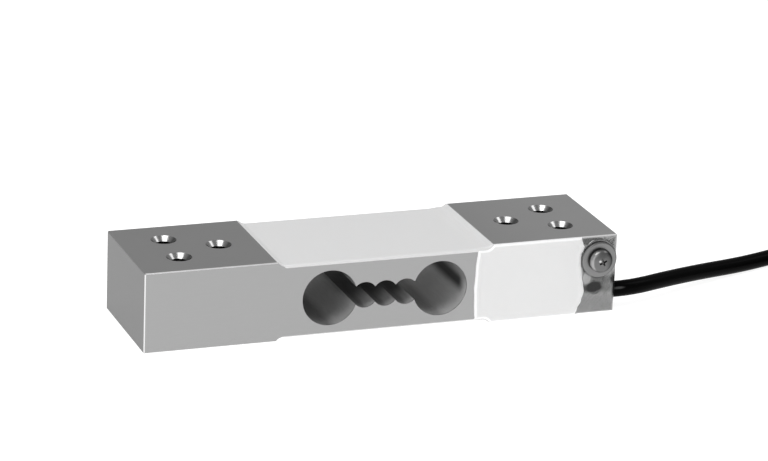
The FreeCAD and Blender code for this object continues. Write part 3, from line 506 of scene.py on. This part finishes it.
def finished(name, bm, finish, slot, node, smooth=40.0, weighted=True):
    """Turn a bmesh into a piece of the cell: shaded, painted and riding on its body."""
    bmesh.ops.recalc_face_normals(bm, faces=bm.faces)
    mesh = as_mesh(name, bm)
    mesh.polygons.foreach_set("use_smooth", [True] * len(mesh.polygons))
    mesh.set_sharp_from_angle(angle=math.radians(smooth))
    piece = placed(name, mesh)
    if weighted:
        shading = piece.modifiers.new("even_shading", "WEIGHTED_NORMAL")
        shading.keep_sharp = True
    return dressed(piece, finish, slot, node)


def merged_copy(node):
    """A CAD node's triangles with their shared corners joined."""
    bm = bmesh.new()
    bm.from_mesh(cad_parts[node].data)
    bmesh.ops.remove_doubles(bm, verts=bm.verts, dist=SAME_SPOT)
    return bm


def spun(bm, outline, steps, closed=False):
    """A ring of sections about the Z axis from an outline of (radius, height)."""
    verts, edges = chained(bm, [mm(radius, 0, height) for radius, height in outline], closed)
    bmesh.ops.spin(bm, geom=verts + edges, cent=(0, 0, 0), axis=(0, 0, 1),
                   angle=2 * math.pi, steps=steps, use_merge=True)
    bmesh.ops.remove_doubles(bm, verts=bm.verts, dist=SAME_SPOT)


def pointed(bm, spot, axis):
    """Swing a shape made about the Z axis so that it points along an axis from a spot."""
    turn = Vector((0, 0, 1)).rotation_difference(Vector(axis)).to_matrix().to_4x4()
    bmesh.ops.transform(bm, matrix=Matrix.Translation(mm(*spot)) @ turn, verts=bm.verts)


def carved(blank, tools, solver="MANIFOLD"):
    """A blank with its tools' shapes cut out of it."""
    piece = placed("blank", as_mesh("blank", blank))
    cutters = [placed("cutter", as_mesh("cutter", tool)) for tool in tools]
    for cutter in cutters:
        cutting = piece.modifiers.new("cut", "BOOLEAN")
        cutting.operation, cutting.object, cutting.solver = "DIFFERENCE", cutter, solver
        cutting.use_self = solver == "EXACT"
    graph = bpy.context.evaluated_depsgraph_get()
    result = bmesh.new()
    result.from_mesh(bpy.data.meshes.new_from_object(piece.evaluated_get(graph)))
    for used in (piece, *cutters):
        bpy.data.objects.remove(used)
    return result


def grid_patch(columns, rows):
    """A flat grid whose corners run from 0 to 1 in x and y."""
    bm = bmesh.new()
    bmesh.ops.create_grid(bm, x_segments=columns, y_segments=rows, size=0.5)
    bmesh.ops.translate(bm, vec=(0.5, 0.5, 0), verts=bm.verts)
    return bm


def gathered(share):
    """A share of a grid's run, with its lines gathered towards both ends."""
    return 0.5 - 0.5 * math.cos(math.pi * share)


def eased(share):
    """A share that starts and ends gently."""
    return share * share * (3 - 2 * share)


def rim_rise(distance, width):
    """The height of a rounded rim as a share of the full thickness."""
    if distance >= width:
        return 1.0
    left = 1.0 - max(distance, 0.0) / width
    return math.sqrt(max(1.0 - left * left, 0.0))


def wavy(seed, first, second=0.0):
    """Slow waves from -1 to 1 over two coordinates."""
    return noise.noise(Vector((first, second, seed * 7.3)))


# Spring body
TAP_PLACES = [(BAR_MIDDLE_X + end * along, across)
              for end in (1, -1) for along, across in TAP_SPOTS]
THREAD_CORE, THREAD_ROOT, THREAD_PITCH = 2.3, 3.0, 1.0
GROOVE_HALF, THREAD_START, THREAD_STEPS = 0.46, 0.7, 24
MOUTH_RADIUS, MOUTH_CLEAR, MOUTH_STEPS = 3.9, 0.4, 72
FLAT_ENOUGH = math.radians(0.4)


def thread_cutter(x, y):
    """A helical groove's worth of material in one tapped hole."""
    bm = bmesh.new()
    corners = [(THREAD_CORE, -GROOVE_HALF), (THREAD_ROOT, 0), (THREAD_CORE, GROOVE_HALF)]
    verts, edges = chained(bm, [mm(radius, 0, THREAD_START + height)
                                for radius, height in corners], closed=True)
    bm.faces.new(verts)
    turns = int((BAR_TOP - 2 * THREAD_START) / THREAD_PITCH)
    made = bmesh.ops.spin(bm, geom=verts + edges, cent=(0, 0, 0), axis=(0, 0, 1),
                          dvec=mm(0, 0, THREAD_PITCH / THREAD_STEPS),
                          angle=2 * math.pi * turns, steps=THREAD_STEPS * turns)
    bmesh.ops.contextual_create(bm, geom=only(bmesh.types.BMEdge, made["geom_last"]))
    bmesh.ops.recalc_face_normals(bm, faces=bm.faces)
    bmesh.ops.translate(bm, vec=mm(x, y, 0), verts=bm.verts)
    return bm


def mouth_cutter(x, y):
    """The countersinks' worth of material at both ends of one hole, down to its thread."""
    bm = bmesh.new()
    sunk = MOUTH_RADIUS - THREAD_CORE
    small, large = THREAD_CORE * MM, (MOUTH_RADIUS + MOUTH_CLEAR) * MM
    inset = (sunk - MOUTH_CLEAR) / 2
    for z, low_radius, high_radius in ((BAR_TOP - inset, small, large), (inset, large, small)):
        bmesh.ops.create_cone(bm, cap_ends=True, segments=MOUTH_STEPS, radius1=low_radius,
                              radius2=high_radius, depth=(sunk + MOUTH_CLEAR) * MM,
                              matrix=Matrix.Translation(mm(x, y, z)))
    return bm


def add_spring_body(finish):
    """The bar, with threads and smooth mouths cut in its tapped holes."""
    tools = [make(x, y) for x, y in TAP_PLACES for make in (thread_cutter, mouth_cutter)]
    bm = carved(merged_copy("spring_body"), tools)
    bmesh.ops.remove_doubles(bm, verts=bm.verts, dist=SAME_SPOT)
    bmesh.ops.dissolve_limit(bm, angle_limit=FLAT_ENOUGH, verts=bm.verts, edges=bm.edges)
    finished("machined_bar", bm, finish, "bar_metal", "spring_body", smooth=28.0)


# Recesses of the top and bottom face
RECESS_DEPTH, RAMP_RADIUS, RECESS_HALF = 1.56, 3.3, 34.3
RAMP_RUN = math.sqrt(2 * RAMP_RADIUS * RECESS_DEPTH - RECESS_DEPTH**2)
RAMP_FOOT = RECESS_HALF - RAMP_RUN


def recess_depth_at(x):
    """How far the bar's face is cut down, x along the bar from its middle."""
    into = abs(x) - RAMP_FOOT
    if into <= 0:
        return RECESS_DEPTH
    if into >= RAMP_RUN:
        return 0.0
    return RECESS_DEPTH - RAMP_RADIUS + math.sqrt(RAMP_RADIUS**2 - into**2)


# Side coat: how far its edges are from the bar's middle, the right one at several heights
COAT_LEFT, COAT_BULGE, BULGE_HEIGHT = 29.25, 0.65, 11.5
COAT_RIGHT = [
    (0.0, 62.1), (2.0, 62.8), (4.3, 63.95), (7.4, 64.75), (9.7, 64.35), (11.9, 63.85),
    (14.0, 63.7), (16.0, 63.35), (19.5, 63.3), (21.0, 64.0), (21.9, 64.3), (23.0, 63.7),
    (24.3, 63.15), (25.0, 63.1)]
SIDE_THICKNESS, SIDE_RIM, SIDE_TUCK = 0.72, 0.85, 0.04
SIDE_SUNK, SIDE_BACK, SIDE_GRID = 0.02, 0.12, (84, 64)
BEAD_HEIGHT, BEAD_INSET, BEAD_WIDTH = 0.12, 1.1, 0.6
POCKET_FRONT = -19.95


def side_coat_left(z):
    """The coat's left edge: it bulges a little in its middle and wanders."""
    middle = 1 - ((z - BULGE_HEIGHT) / BAR_MIDDLE_Z)**2
    return COAT_LEFT - COAT_BULGE * middle + 0.16 * wavy(3, z * 0.22)


def side_coat_right(z):
    """The coat's right edge: round the washer, over the port and back at the bottom."""
    for (low, start), (high, stop) in zip(COAT_RIGHT, COAT_RIGHT[1:]):
        if z <= high:
            share = eased((z - low) / (high - low))
            return start + (stop - start) * share + 0.03 * wavy(5, z * 0.6)
    return COAT_RIGHT[-1][1]


def pocket_filling():
    """The silicone behind the bar's face: the CAD coat without what stands out of the bar."""
    bm = merged_copy("side_coat")
    everything = bm.verts[:] + bm.edges[:] + bm.faces[:]
    bmesh.ops.bisect_plane(bm, geom=everything, dist=1e-8, plane_co=mm(0, POCKET_FRONT, 0),
                           plane_no=FRONTWARD, clear_outer=True)
    bmesh.ops.holes_fill(bm, edges=boundary(bm))
    return bm


def add_side_coat(finish):
    """The silicone on the front of the right block, over the gauges' wiring and the board."""
    bm = grid_patch(*SIDE_GRID)
    for vert in bm.verts:
        s, t = gathered(vert.co.x), gathered(vert.co.y)
        left, right = side_coat_left(BAR_TOP * t), side_coat_right(BAR_TOP * t)
        x = left + (right - left) * s
        cut = recess_depth_at(x) - SIDE_TUCK
        low, high = max(cut, SIDE_TUCK), BAR_TOP - max(cut, SIDE_TUCK / 2)
        z = low + (high - low) * t
        over = min(x - left, right - x, z - low, high - z)
        swell = 1 + 0.10 * wavy(1, x * 0.16, z * 0.16) + 0.05 * wavy(2, x * 0.5, z * 0.5)
        bead = BEAD_HEIGHT * math.exp(-((over - BEAD_INSET) / BEAD_WIDTH)**2)
        rise = (SIDE_THICKNESS * swell + bead) * rim_rise(over, SIDE_RIM)
        vert.co = mm(BAR_MIDDLE_X + x, BAR_FRONT + SIDE_SUNK - rise, z)
    wall = bmesh.ops.extrude_edge_only(bm, edges=boundary(bm))["geom"]
    for vert in only(bmesh.types.BMVert, wall):
        vert.co.y = (BAR_FRONT + SIDE_BACK) * MM
    bmesh.ops.holes_fill(bm, edges=boundary(bm))
    add_into(bm, pocket_filling())
    finished("side_silicone", bm, finish, "white_silicone", "side_coat", smooth=60.0,
             weighted=False)


# Neck coats, over the strain gauges
NECK_THICKNESS, NECK_RIM, NECK_GRID = 0.5, 0.56, (110, 64)
NECK_EDGE, NECK_LAP, BARE_SETBACK = 19.42, 0.28, 0.9
LAP_TURN, RIM_SHARE = -65.0, 0.12
NECK_SUNK, NECK_SEAT = 0.08, 19.3
FILLET_RISE, FILLET_SPOT, FILLET_RUN = 0.30, -0.3, 1.7
SWELL, SWELL_RIM, SWELL_END = 0.012, 3.0, RAMP_FOOT - 1


def neck_skin_at(x):
    """How thick the sheet is, x along the bar from its middle: it runs out up the ramps, and
    the right end has a fillet."""
    inner = RAMP_RADIUS - NECK_THICKNESS
    reach = math.sqrt(inner**2 - (RAMP_RADIUS - RECESS_DEPTH)**2)
    into = abs(x) - RAMP_FOOT
    surface = NECK_THICKNESS - RECESS_DEPTH
    if into > 0:
        surface += inner - math.sqrt(inner**2 - min(into, reach)**2)
    if x > 0:
        surface += FILLET_RISE * math.exp(-((into - FILLET_SPOT) / FILLET_RUN)**2)
    return min(surface, 0.0) + recess_depth_at(x)


def across_sheet(share, front, lap):
    """A point's place across the sheet, from its front rim to its back rim, and its height as
    a share of the sheet's thickness."""
    if share < RIM_SHARE:
        turn = math.radians(LAP_TURN * lap + (90 - LAP_TURN * lap) * share / RIM_SHARE)
        return -front - NECK_RIM * math.cos(turn), math.sin(turn)
    if share > 1 - RIM_SHARE:
        turn = math.radians(90 * (1 - share) / RIM_SHARE)
        return NECK_EDGE + NECK_RIM * math.cos(turn), math.sin(turn)
    return -front + (NECK_EDGE + front) * (share - RIM_SHARE) / (1 - 2 * RIM_SHARE), 1.0


def add_neck_coat(face, finish):
    """The silicone sheet in the recess of the top or bottom face, over the strain gauges.
    The top one laps a little over the bar's front edge, but not up the left ramp."""
    bm = grid_patch(*NECK_GRID)
    for vert in bm.verts:
        x = (vert.co.x * 2 - 1) * RECESS_HALF
        bare = max(-x - RAMP_FOOT, 0.0) / RAMP_RUN
        lap = max(1 - 2 * bare, 0.0) if face == "top" else 0.0
        front = NECK_EDGE + NECK_LAP * lap - BARE_SETBACK * bare + 0.04 * wavy(4, x * 0.3)
        y, share = across_sheet(vert.co.y, front, lap)
        swell = SWELL * wavy(6, x * 0.12, y * 0.12) if abs(x) < SWELL_END else 0.0
        swell *= rim_rise(min(y + front, NECK_EDGE - y), SWELL_RIM)
        height = BAR_TOP - recess_depth_at(x) + neck_skin_at(x) * share + swell
        vert.co = mm(BAR_MIDDLE_X + x, y, height if face == "top" else BAR_TOP - height)
    copy = bmesh.ops.extrude_face_region(bm, geom=bm.faces[:], use_keep_orig=True)["geom"]
    under = only(bmesh.types.BMVert, copy)
    for vert in under:
        height = BAR_TOP - recess_depth_at(vert.co.x / MM - BAR_MIDDLE_X) - NECK_SUNK
        vert.co.z = (height if face == "top" else BAR_TOP - height) * MM
        vert.co.y = max(vert.co.y, -NECK_SEAT * MM)
    bmesh.ops.remove_doubles(bm, verts=under, dist=10 * SAME_SPOT)
    finished(f"{face}_silicone", bm, finish, "white_silicone", f"{face}_coat", smooth=50.0,
             weighted=False)


# Ground screw, washer and tag: outlines of (radius, height) and where each one stands
SCREW_SPOT, WASHER_SPOT = (7.9, -21.5, 17.65), (7.9, -20.5, 17.65)
TAG_RING_SPOT = (7.9, -20.02, 18.6)
SCREW_OUTLINE = [
    (0, -9.5), (1.2, -9.5), (1.62, -8.9), (1.62, 0.0), (3.45, 0.0), (3.64, 0.12), (3.7, 0.35),
    (3.7, 0.95), (3.62, 1.4), (3.38, 1.85), (3.08, 2.15), (2.86, 2.28), (2.4, 2.44),
    (1.8, 2.62), (1.2, 2.76), (0.6, 2.84), (0, 2.87)]
WASHER_OUTLINE = [
    (2.2, 0.1), (2.3, 0.0), (5.45, 0.0), (5.6, 0.12), (5.65, 0.35), (5.65, 0.6), (5.58, 0.82),
    (5.4, 0.95), (5.15, 1.0), (2.45, 1.0), (2.2, 0.85)]
TAG_RING_OUTLINE = [
    (2.2, 0.0), (5.5, 0.0), (5.52, 0.12), (5.48, 0.26), (5.36, 0.38), (5.2, 0.45), (5.0, 0.47),
    (2.2, 0.47)]
ARM_SIZE, ARM_HEIGHT, ARM_TAPER = (3.7, 0.75, 2.0), 2.85, (0.42, 0.6)
CROSS_TURN = 24
TAG_ROUNDING = 0.08


def cross_cutter():
    """The recess's worth of material in the screw's head: two arms that narrow downwards."""
    bm = bmesh.new()
    for turn in (CROSS_TURN, CROSS_TURN + 90):
        arm = bmesh.ops.create_cube(bm, size=1.0)["verts"]
        bmesh.ops.scale(bm, vec=mm(*ARM_SIZE), verts=arm)
        bmesh.ops.scale(bm, vec=(*ARM_TAPER, 1), verts=[vert for vert in arm if vert.co.z < 0])
        bmesh.ops.translate(bm, vec=mm(0, 0, ARM_HEIGHT), verts=arm)
        bmesh.ops.rotate(bm, cent=(0, 0, 0), verts=arm,
                         matrix=Matrix.Rotation(math.radians(turn), 3, "Z"))
    bmesh.ops.recalc_face_normals(bm, faces=bm.faces)
    return bm


def add_screw(finish):
    """A pan head with a rounded shoulder and a cross recess, on a shank."""
    blank = bmesh.new()
    spun(blank, SCREW_OUTLINE, steps=72)
    bmesh.ops.recalc_face_normals(blank, faces=blank.faces)
    bm = carved(blank, [cross_cutter()], "EXACT")
    pointed(bm, SCREW_SPOT, FRONTWARD)
    finished("cross_screw", bm, finish, "plated_steel", "ground_screw", smooth=32.0)


def add_washer(finish):
    """A stamped washer with a rounded rim."""
    bm = bmesh.new()
    spun(bm, WASHER_OUTLINE, steps=96, closed=True)
    pointed(bm, WASHER_SPOT, FRONTWARD)
    finished("plain_washer", bm, finish, "plated_steel", "ground_washer", smooth=35.0)


def tag_tail():
    """The CAD tag with its sharp edges rounded."""
    bm = merged_copy("solder_tag")
    bmesh.ops.dissolve_limit(bm, angle_limit=math.radians(2), verts=bm.verts, edges=bm.edges)
    sharp = [edge for edge in bm.edges
             if edge.is_manifold and edge.calc_face_angle() > math.radians(40)]
    bmesh.ops.bevel(bm, geom=sharp, offset=TAG_ROUNDING * MM, segments=2, profile=0.5,
                    affect="EDGES", material=-1, clamp_overlap=True)
    return bm


def add_solder_tag(finish):
    """The tag under the washer: its tail, and a ring that shows above the washer."""
    bm = bmesh.new()
    spun(bm, TAG_RING_OUTLINE, steps=96, closed=True)
    pointed(bm, TAG_RING_SPOT, FRONTWARD)
    add_into(bm, tag_tail())
    finished("tinned_solder_tag", bm, finish, "tinned_metal", "solder_tag")


# Lead: a route, a coil that lies flat and then climbs over itself, and a tail
LEAD_RADIUS = 2.5
LEAD_ROUTE = [
    (0.5, -16.6, 5.9), (10.0, -16.6, 5.9), (21.7, -16.6, 5.9), (35.8, -10.2, 5.15),
    (51.2, -3.3, 3.9), (68.0, 3.05, 2.55), (83.5, 8.35, 2.55)]
COIL_CENTRE = (109.855, -13.287)
COIL_START, COIL_STEP, COIL_POINTS = 108.877, 22.5, 34
FLAT_UNTIL, CLIMBED_AT, COIL_END = 620, 680, 774
COIL_OUTER, COIL_INNER, COIL_PITCH = 29.0, 20.05, 5.2
LYING, RAISED = 2.55, 7.7
TIE_ANGLE, TIE_LIFT, TIE_SPREAD = -56.5, 0.45, 30
TAIL_START, TAIL_WAY = Vector((126.54, 10.433, 7.55)), Vector((0.8102, -0.5699, 0.0))
TAIL_DROPS = [(1.0, 0.0), (12.0, 1.9), (20.0, 3.1), (27.4, 4.0)]


def coil_spot(travel):
    """Where the lead's middle is after a travel round the coil, in degrees. The strap lifts
    the turns that lie on the floor."""
    if travel <= FLAT_UNTIL:
        radius, height = COIL_OUTER - COIL_PITCH * travel / 360, LYING
    elif travel <= CLIMBED_AT:
        share = eased((travel - FLAT_UNTIL) / (CLIMBED_AT - FLAT_UNTIL))
        radius, height = COIL_INNER, LYING + (RAISED - LYING) * share
    else:
        share = (travel - CLIMBED_AT) / (COIL_END - CLIMBED_AT)
        radius, height = COIL_INNER + (COIL_OUTER - COIL_INNER) * share**1.3, RAISED
    angle = math.radians(COIL_START - travel)
    reach = radius / math.cos(math.radians(COIL_STEP / 2))
    off_tie = (math.degrees(angle) - TIE_ANGLE + 180) % 360 - 180
    if height < LYING + TIE_LIFT:
        height += TIE_LIFT * max(0.0, 1 - abs(off_tie) / TIE_SPREAD)
    return (COIL_CENTRE[0] + reach * math.cos(angle),
            COIL_CENTRE[1] + reach * math.sin(angle), height)


def lead_points():
    """The control points of the whole lead: its route, its coil and its tail."""
    turns = [coil_spot(COIL_STEP * (step + 0.5)) for step in range(COIL_POINTS)]
    tail = [tuple(TAIL_START + TAIL_WAY * reach - Vector((0, 0, drop)))
            for reach, drop in TAIL_DROPS]
    return LEAD_ROUTE + turns + tail


def painted_cord(name, points, radius, finish, slot, *nodes):
    """A smooth line through the pull of its points, as a round cord in place of CAD nodes."""
    data = bpy.data.curves.new(name, "CURVE")
    data.dimensions = "3D"
    data.bevel_depth = radius * MM
    data.bevel_resolution = 6
    data.resolution_u = 10
    data.use_fill_caps = True
    spline = data.splines.new("NURBS")
    spline.points.add(len(points) - 1)
    for spot, point in zip(spline.points, points):
        spot.co = (*mm(*point), 1.0)
    spline.order_u = 3
    spline.use_endpoint_u = True
    return dressed(placed(name, data), finish, slot, *nodes)


CORE_RADIUS = 0.55
CORE_POINTS = {
    "green": [(152.0, -6.5, 3.98), (155.78, -9.16, 3.34), (159.58, -10.26, 2.07),
              (163.95, -11.56, 1.22), (169.07, -12.62, 0.57), (177.2, -13.58, 0.57)],
    "white": [(151.8, -6.4, 2.4), (155.33, -8.84, 1.8), (158.46, -10.64, 1.35),
              (162.04, -12.59, 0.91), (166.11, -14.62, 0.57), (172.4, -17.42, 0.57)],
    "black": [(150.9, -7.7, 2.4), (154.53, -10.24, 1.78), (157.5, -12.56, 1.35),
              (160.77, -15.26, 0.91), (164.33, -18.37, 0.57), (169.53, -23.23, 0.57)],
    "red": [(151.1, -7.8, 3.98), (154.61, -10.29, 3.38), (156.76, -13.16, 2.07),
            (159.25, -16.5, 1.22), (161.79, -20.53, 0.57), (165.2, -27.16, 0.57)],
}
TIP_OUTLINE = [
    (0, -1.0), (0.3, -1.0), (0.32, 0.0), (0.33, 1.5), (0.31, 3.0), (0.33, 4.5), (0.30, 5.6),
    (0.2, 5.95), (0, 6.0)]
TIP_STRANDS, TIP_SWELL, TIP_TWIST = 4, 0.12, 2.4


def twisted_tip():
    """One tinned end, about the Z axis, with the ridges of its twisted strands."""
    bm = bmesh.new()
    spun(bm, TIP_OUTLINE, steps=16)
    for vert in bm.verts:
        angle = math.atan2(vert.co.y, vert.co.x)
        swell = 1 + TIP_SWELL * math.cos(TIP_STRANDS * angle + vert.co.z / MM * TIP_TWIST)
        vert.co.x *= swell
        vert.co.y *= swell
    return bm


def add_tips(finish):
    """The tinned, twisted ends of the four cores."""
    bm = bmesh.new()
    for *_, before, end in CORE_POINTS.values():
        tip = twisted_tip()
        pointed(tip, end, (Vector(end) - Vector(before)).normalized())
        add_into(bm, tip)
    return finished("tinned_tips", bm, finish, "tinned_metal", "core_tips", smooth=50.0)


SLEEVE_FOOT, SLEEVE_MOUTH = (142.288, -0.644, 4.736), (152.011, -7.483, 3.091)
SLEEVE_OUTLINE = [
    (2.45, 0.0), (2.85, 0.0), (3.0, 0.2), (3.0, 4.0), (2.98, 7.2), (2.9, 8.2), (2.6, 9.4),
    (2.35, 10.4), (2.25, 11.4), (2.15, 11.9), (1.9, 12.0), (1.6, 11.7), (1.3, 11.2), (0, 11.0),
    (0, 9.5), (2.45, 8.8)]


def add_sleeve(finish):
    """Shrunk tube over the end of the jacket, drawn in round the cores."""
    bm = bmesh.new()
    spun(bm, SLEEVE_OUTLINE, steps=48, closed=True)
    pointed(bm, SLEEVE_FOOT, (Vector(SLEEVE_MOUTH) - Vector(SLEEVE_FOOT)).normalized())
    return finished("end_cap_sleeve", bm, finish, "sleeve_black", "end_sleeve", smooth=45.0)


TIE_LOW, TIE_HIGH, TIE_INNER, TIE_OUTER = 0.42, 5.5, 18.75, 29.25
TIE_WIDTH, TIE_THICKNESS, TIE_STEPS = 2.8, 0.38, 12


def add_tie(finish):
    """A flat strap drawn round the coil's turns."""
    angle = math.radians(TIE_ANGLE)
    outward = Vector((math.cos(angle), math.sin(angle), 0))
    along = Vector((-outward.y, outward.x, 0))
    radius, centre = (TIE_HIGH - TIE_LOW) / 2, (TIE_HIGH + TIE_LOW) / 2
    spots = []
    for start, hub in ((-90, TIE_OUTER - radius), (90, TIE_INNER + radius)):
        for step in range(TIE_STEPS + 1):
            turn = math.radians(start + 180 * step / TIE_STEPS)
            reach, height = hub + radius * math.cos(turn), centre + radius * math.sin(turn)
            spots.append((Vector((*COIL_CENTRE, height)) + outward * reach) * MM)
    bm = bmesh.new()
    edges = chained(bm, spots, closed=True)[1]
    grown = bmesh.ops.extrude_edge_only(bm, edges=edges)["geom"]
    bmesh.ops.translate(bm, vec=along * TIE_WIDTH * MM, verts=only(bmesh.types.BMVert, grown))
    bmesh.ops.translate(bm, vec=along * -TIE_WIDTH / 2 * MM, verts=bm.verts)
    bmesh.ops.recalc_face_normals(bm, faces=bm.faces)
    bmesh.ops.solidify(bm, geom=bm.faces[:], thickness=-TIE_THICKNESS * MM)
    return finished("coil_strap", bm, finish, "tie_black", "coil_tie")


# The scene
FLOOR_HALF = 6000.0


def add_floor():
    """The sweep under the cell."""
    bm = bmesh.new()
    bmesh.ops.create_grid(bm, x_segments=1, y_segments=1, size=FLOOR_HALF * MM)
    floor = placed("sweep", as_mesh("sweep", bm))
    floor.data.materials.append(pale_floor())


add_camera()
light_studio()
add_floor()

top_finish = white_rubber("brushed_silicone", roughness=0.42, coat=0.05, level=(0.722, 0.742),
                          upright=(0.66, 0.69), turn=(0.3, 0.8))
side_finish = white_rubber("poured_silicone", roughness=0.34, coat=0.12, level=(0.90, 0.95),
                           upright=(0.72, 0.745), turn=(0.86, 0.995))
tinned_finish = metal("tinned_copper", (0.42, 0.62), (0.25, 0.45))
core_finishes = {
    "green": plain_skin("core_green", ((0.01, 0.16, 0.03), (0.02, 0.24, 0.05)), (0.35, 0.5)),
    "white": plain_skin("core_white", (0.70, 0.80), (0.35, 0.5)),
    "black": plain_skin("core_black", (0.008, 0.016), (0.35, 0.5)),
    "red": plain_skin("core_red", ((0.42, 0.01, 0.01), (0.60, 0.02, 0.015)), (0.35, 0.5)),
}

sleeve = add_sleeve(plain_skin("shrink_tube", (0.008, 0.016), (0.38, 0.5), depth=0.012))
tie = add_tie(plain_skin("strap_nylon", (0.010, 0.018), (0.42, 0.55), size=0.4, depth=0.012))
tips = add_tips(tinned_finish)
cores = [painted_cord(f"stripped_core_{color}", points, CORE_RADIUS, core_finishes[color],
                      f"core_{color}", f"lead_core_{color}")
         for color, points in CORE_POINTS.items()]
lead = painted_cord("lead", lead_points(), LEAD_RADIUS, jacket_rubber(), "lead_jacket",
                    "lead_tube", "lead_coil")

add_spring_body(milled_aluminium())
add_side_coat(side_finish)
add_neck_coat("top", top_finish)
add_neck_coat("bottom", top_finish)
add_screw(plated_steel("screw_plating", 0.36, 0.155, 0.02, foot=-22.1, painted_glint=SCREW_GLINT))
add_washer(plated_steel("washer_plating", 0.25, 0.21, 0.07))
# A dark tone for the solder tag's tin
add_solder_tag(metal("dark_tin", (0.15, 0.25), (0.22, 0.34)))

# Finishes of the CAD nodes that show as they are
copper_finish = metal("gold_flashed_pad", ((0.62, 0.40, 0.14), (0.80, 0.56, 0.24)), (0.3, 0.45))
foil_finish = metal("gauge_alloy", ((0.40, 0.36, 0.30), (0.55, 0.50, 0.44)), (0.3, 0.45))
backing_finish = plain_skin("gauge_backing", ((0.42, 0.24, 0.06), (0.55, 0.34, 0.10)),
                            (0.25, 0.4), size=0.5)
enamel_finish = plain_skin("wire_enamel", ((0.35, 0.10, 0.03), (0.50, 0.17, 0.05)),
                           (0.2, 0.35), size=0.3)
node_finishes = {
    "lacquer_film": clear_film(),
    "port_resin": plain_skin("clouded_resin", (0.10, 0.15), (0.3, 0.4), size=0.8),
    "entry_resin": dark_resin(),
    "drain_wire": tinned_finish,
    "trimming_board": glass_weave_board(),
    "board_pads": copper_finish,
    "trimming_resistors": plain_skin("resistor_body", (0.012, 0.03), (0.4, 0.55), size=0.2),
}
for face in ("top", "bottom"):
    node_finishes[f"gauge_wires_{face}"] = enamel_finish
    node_finishes[f"bridge_wires_{face}"] = enamel_finish
    node_finishes[f"terminal_strip_{face}"] = backing_finish
    node_finishes[f"terminal_pads_{face}"] = copper_finish
    for end in ("fixed", "load"):
        node_finishes[f"strain_gauge_{face}_{end}"] = backing_finish
        node_finishes[f"gauge_grid_{face}_{end}"] = foil_finish
for color, finish in core_finishes.items():
    node_finishes[f"board_core_{color}"] = finish
for node, finish in node_finishes.items():
    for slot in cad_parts[node].material_slots:
        slot.material = finish
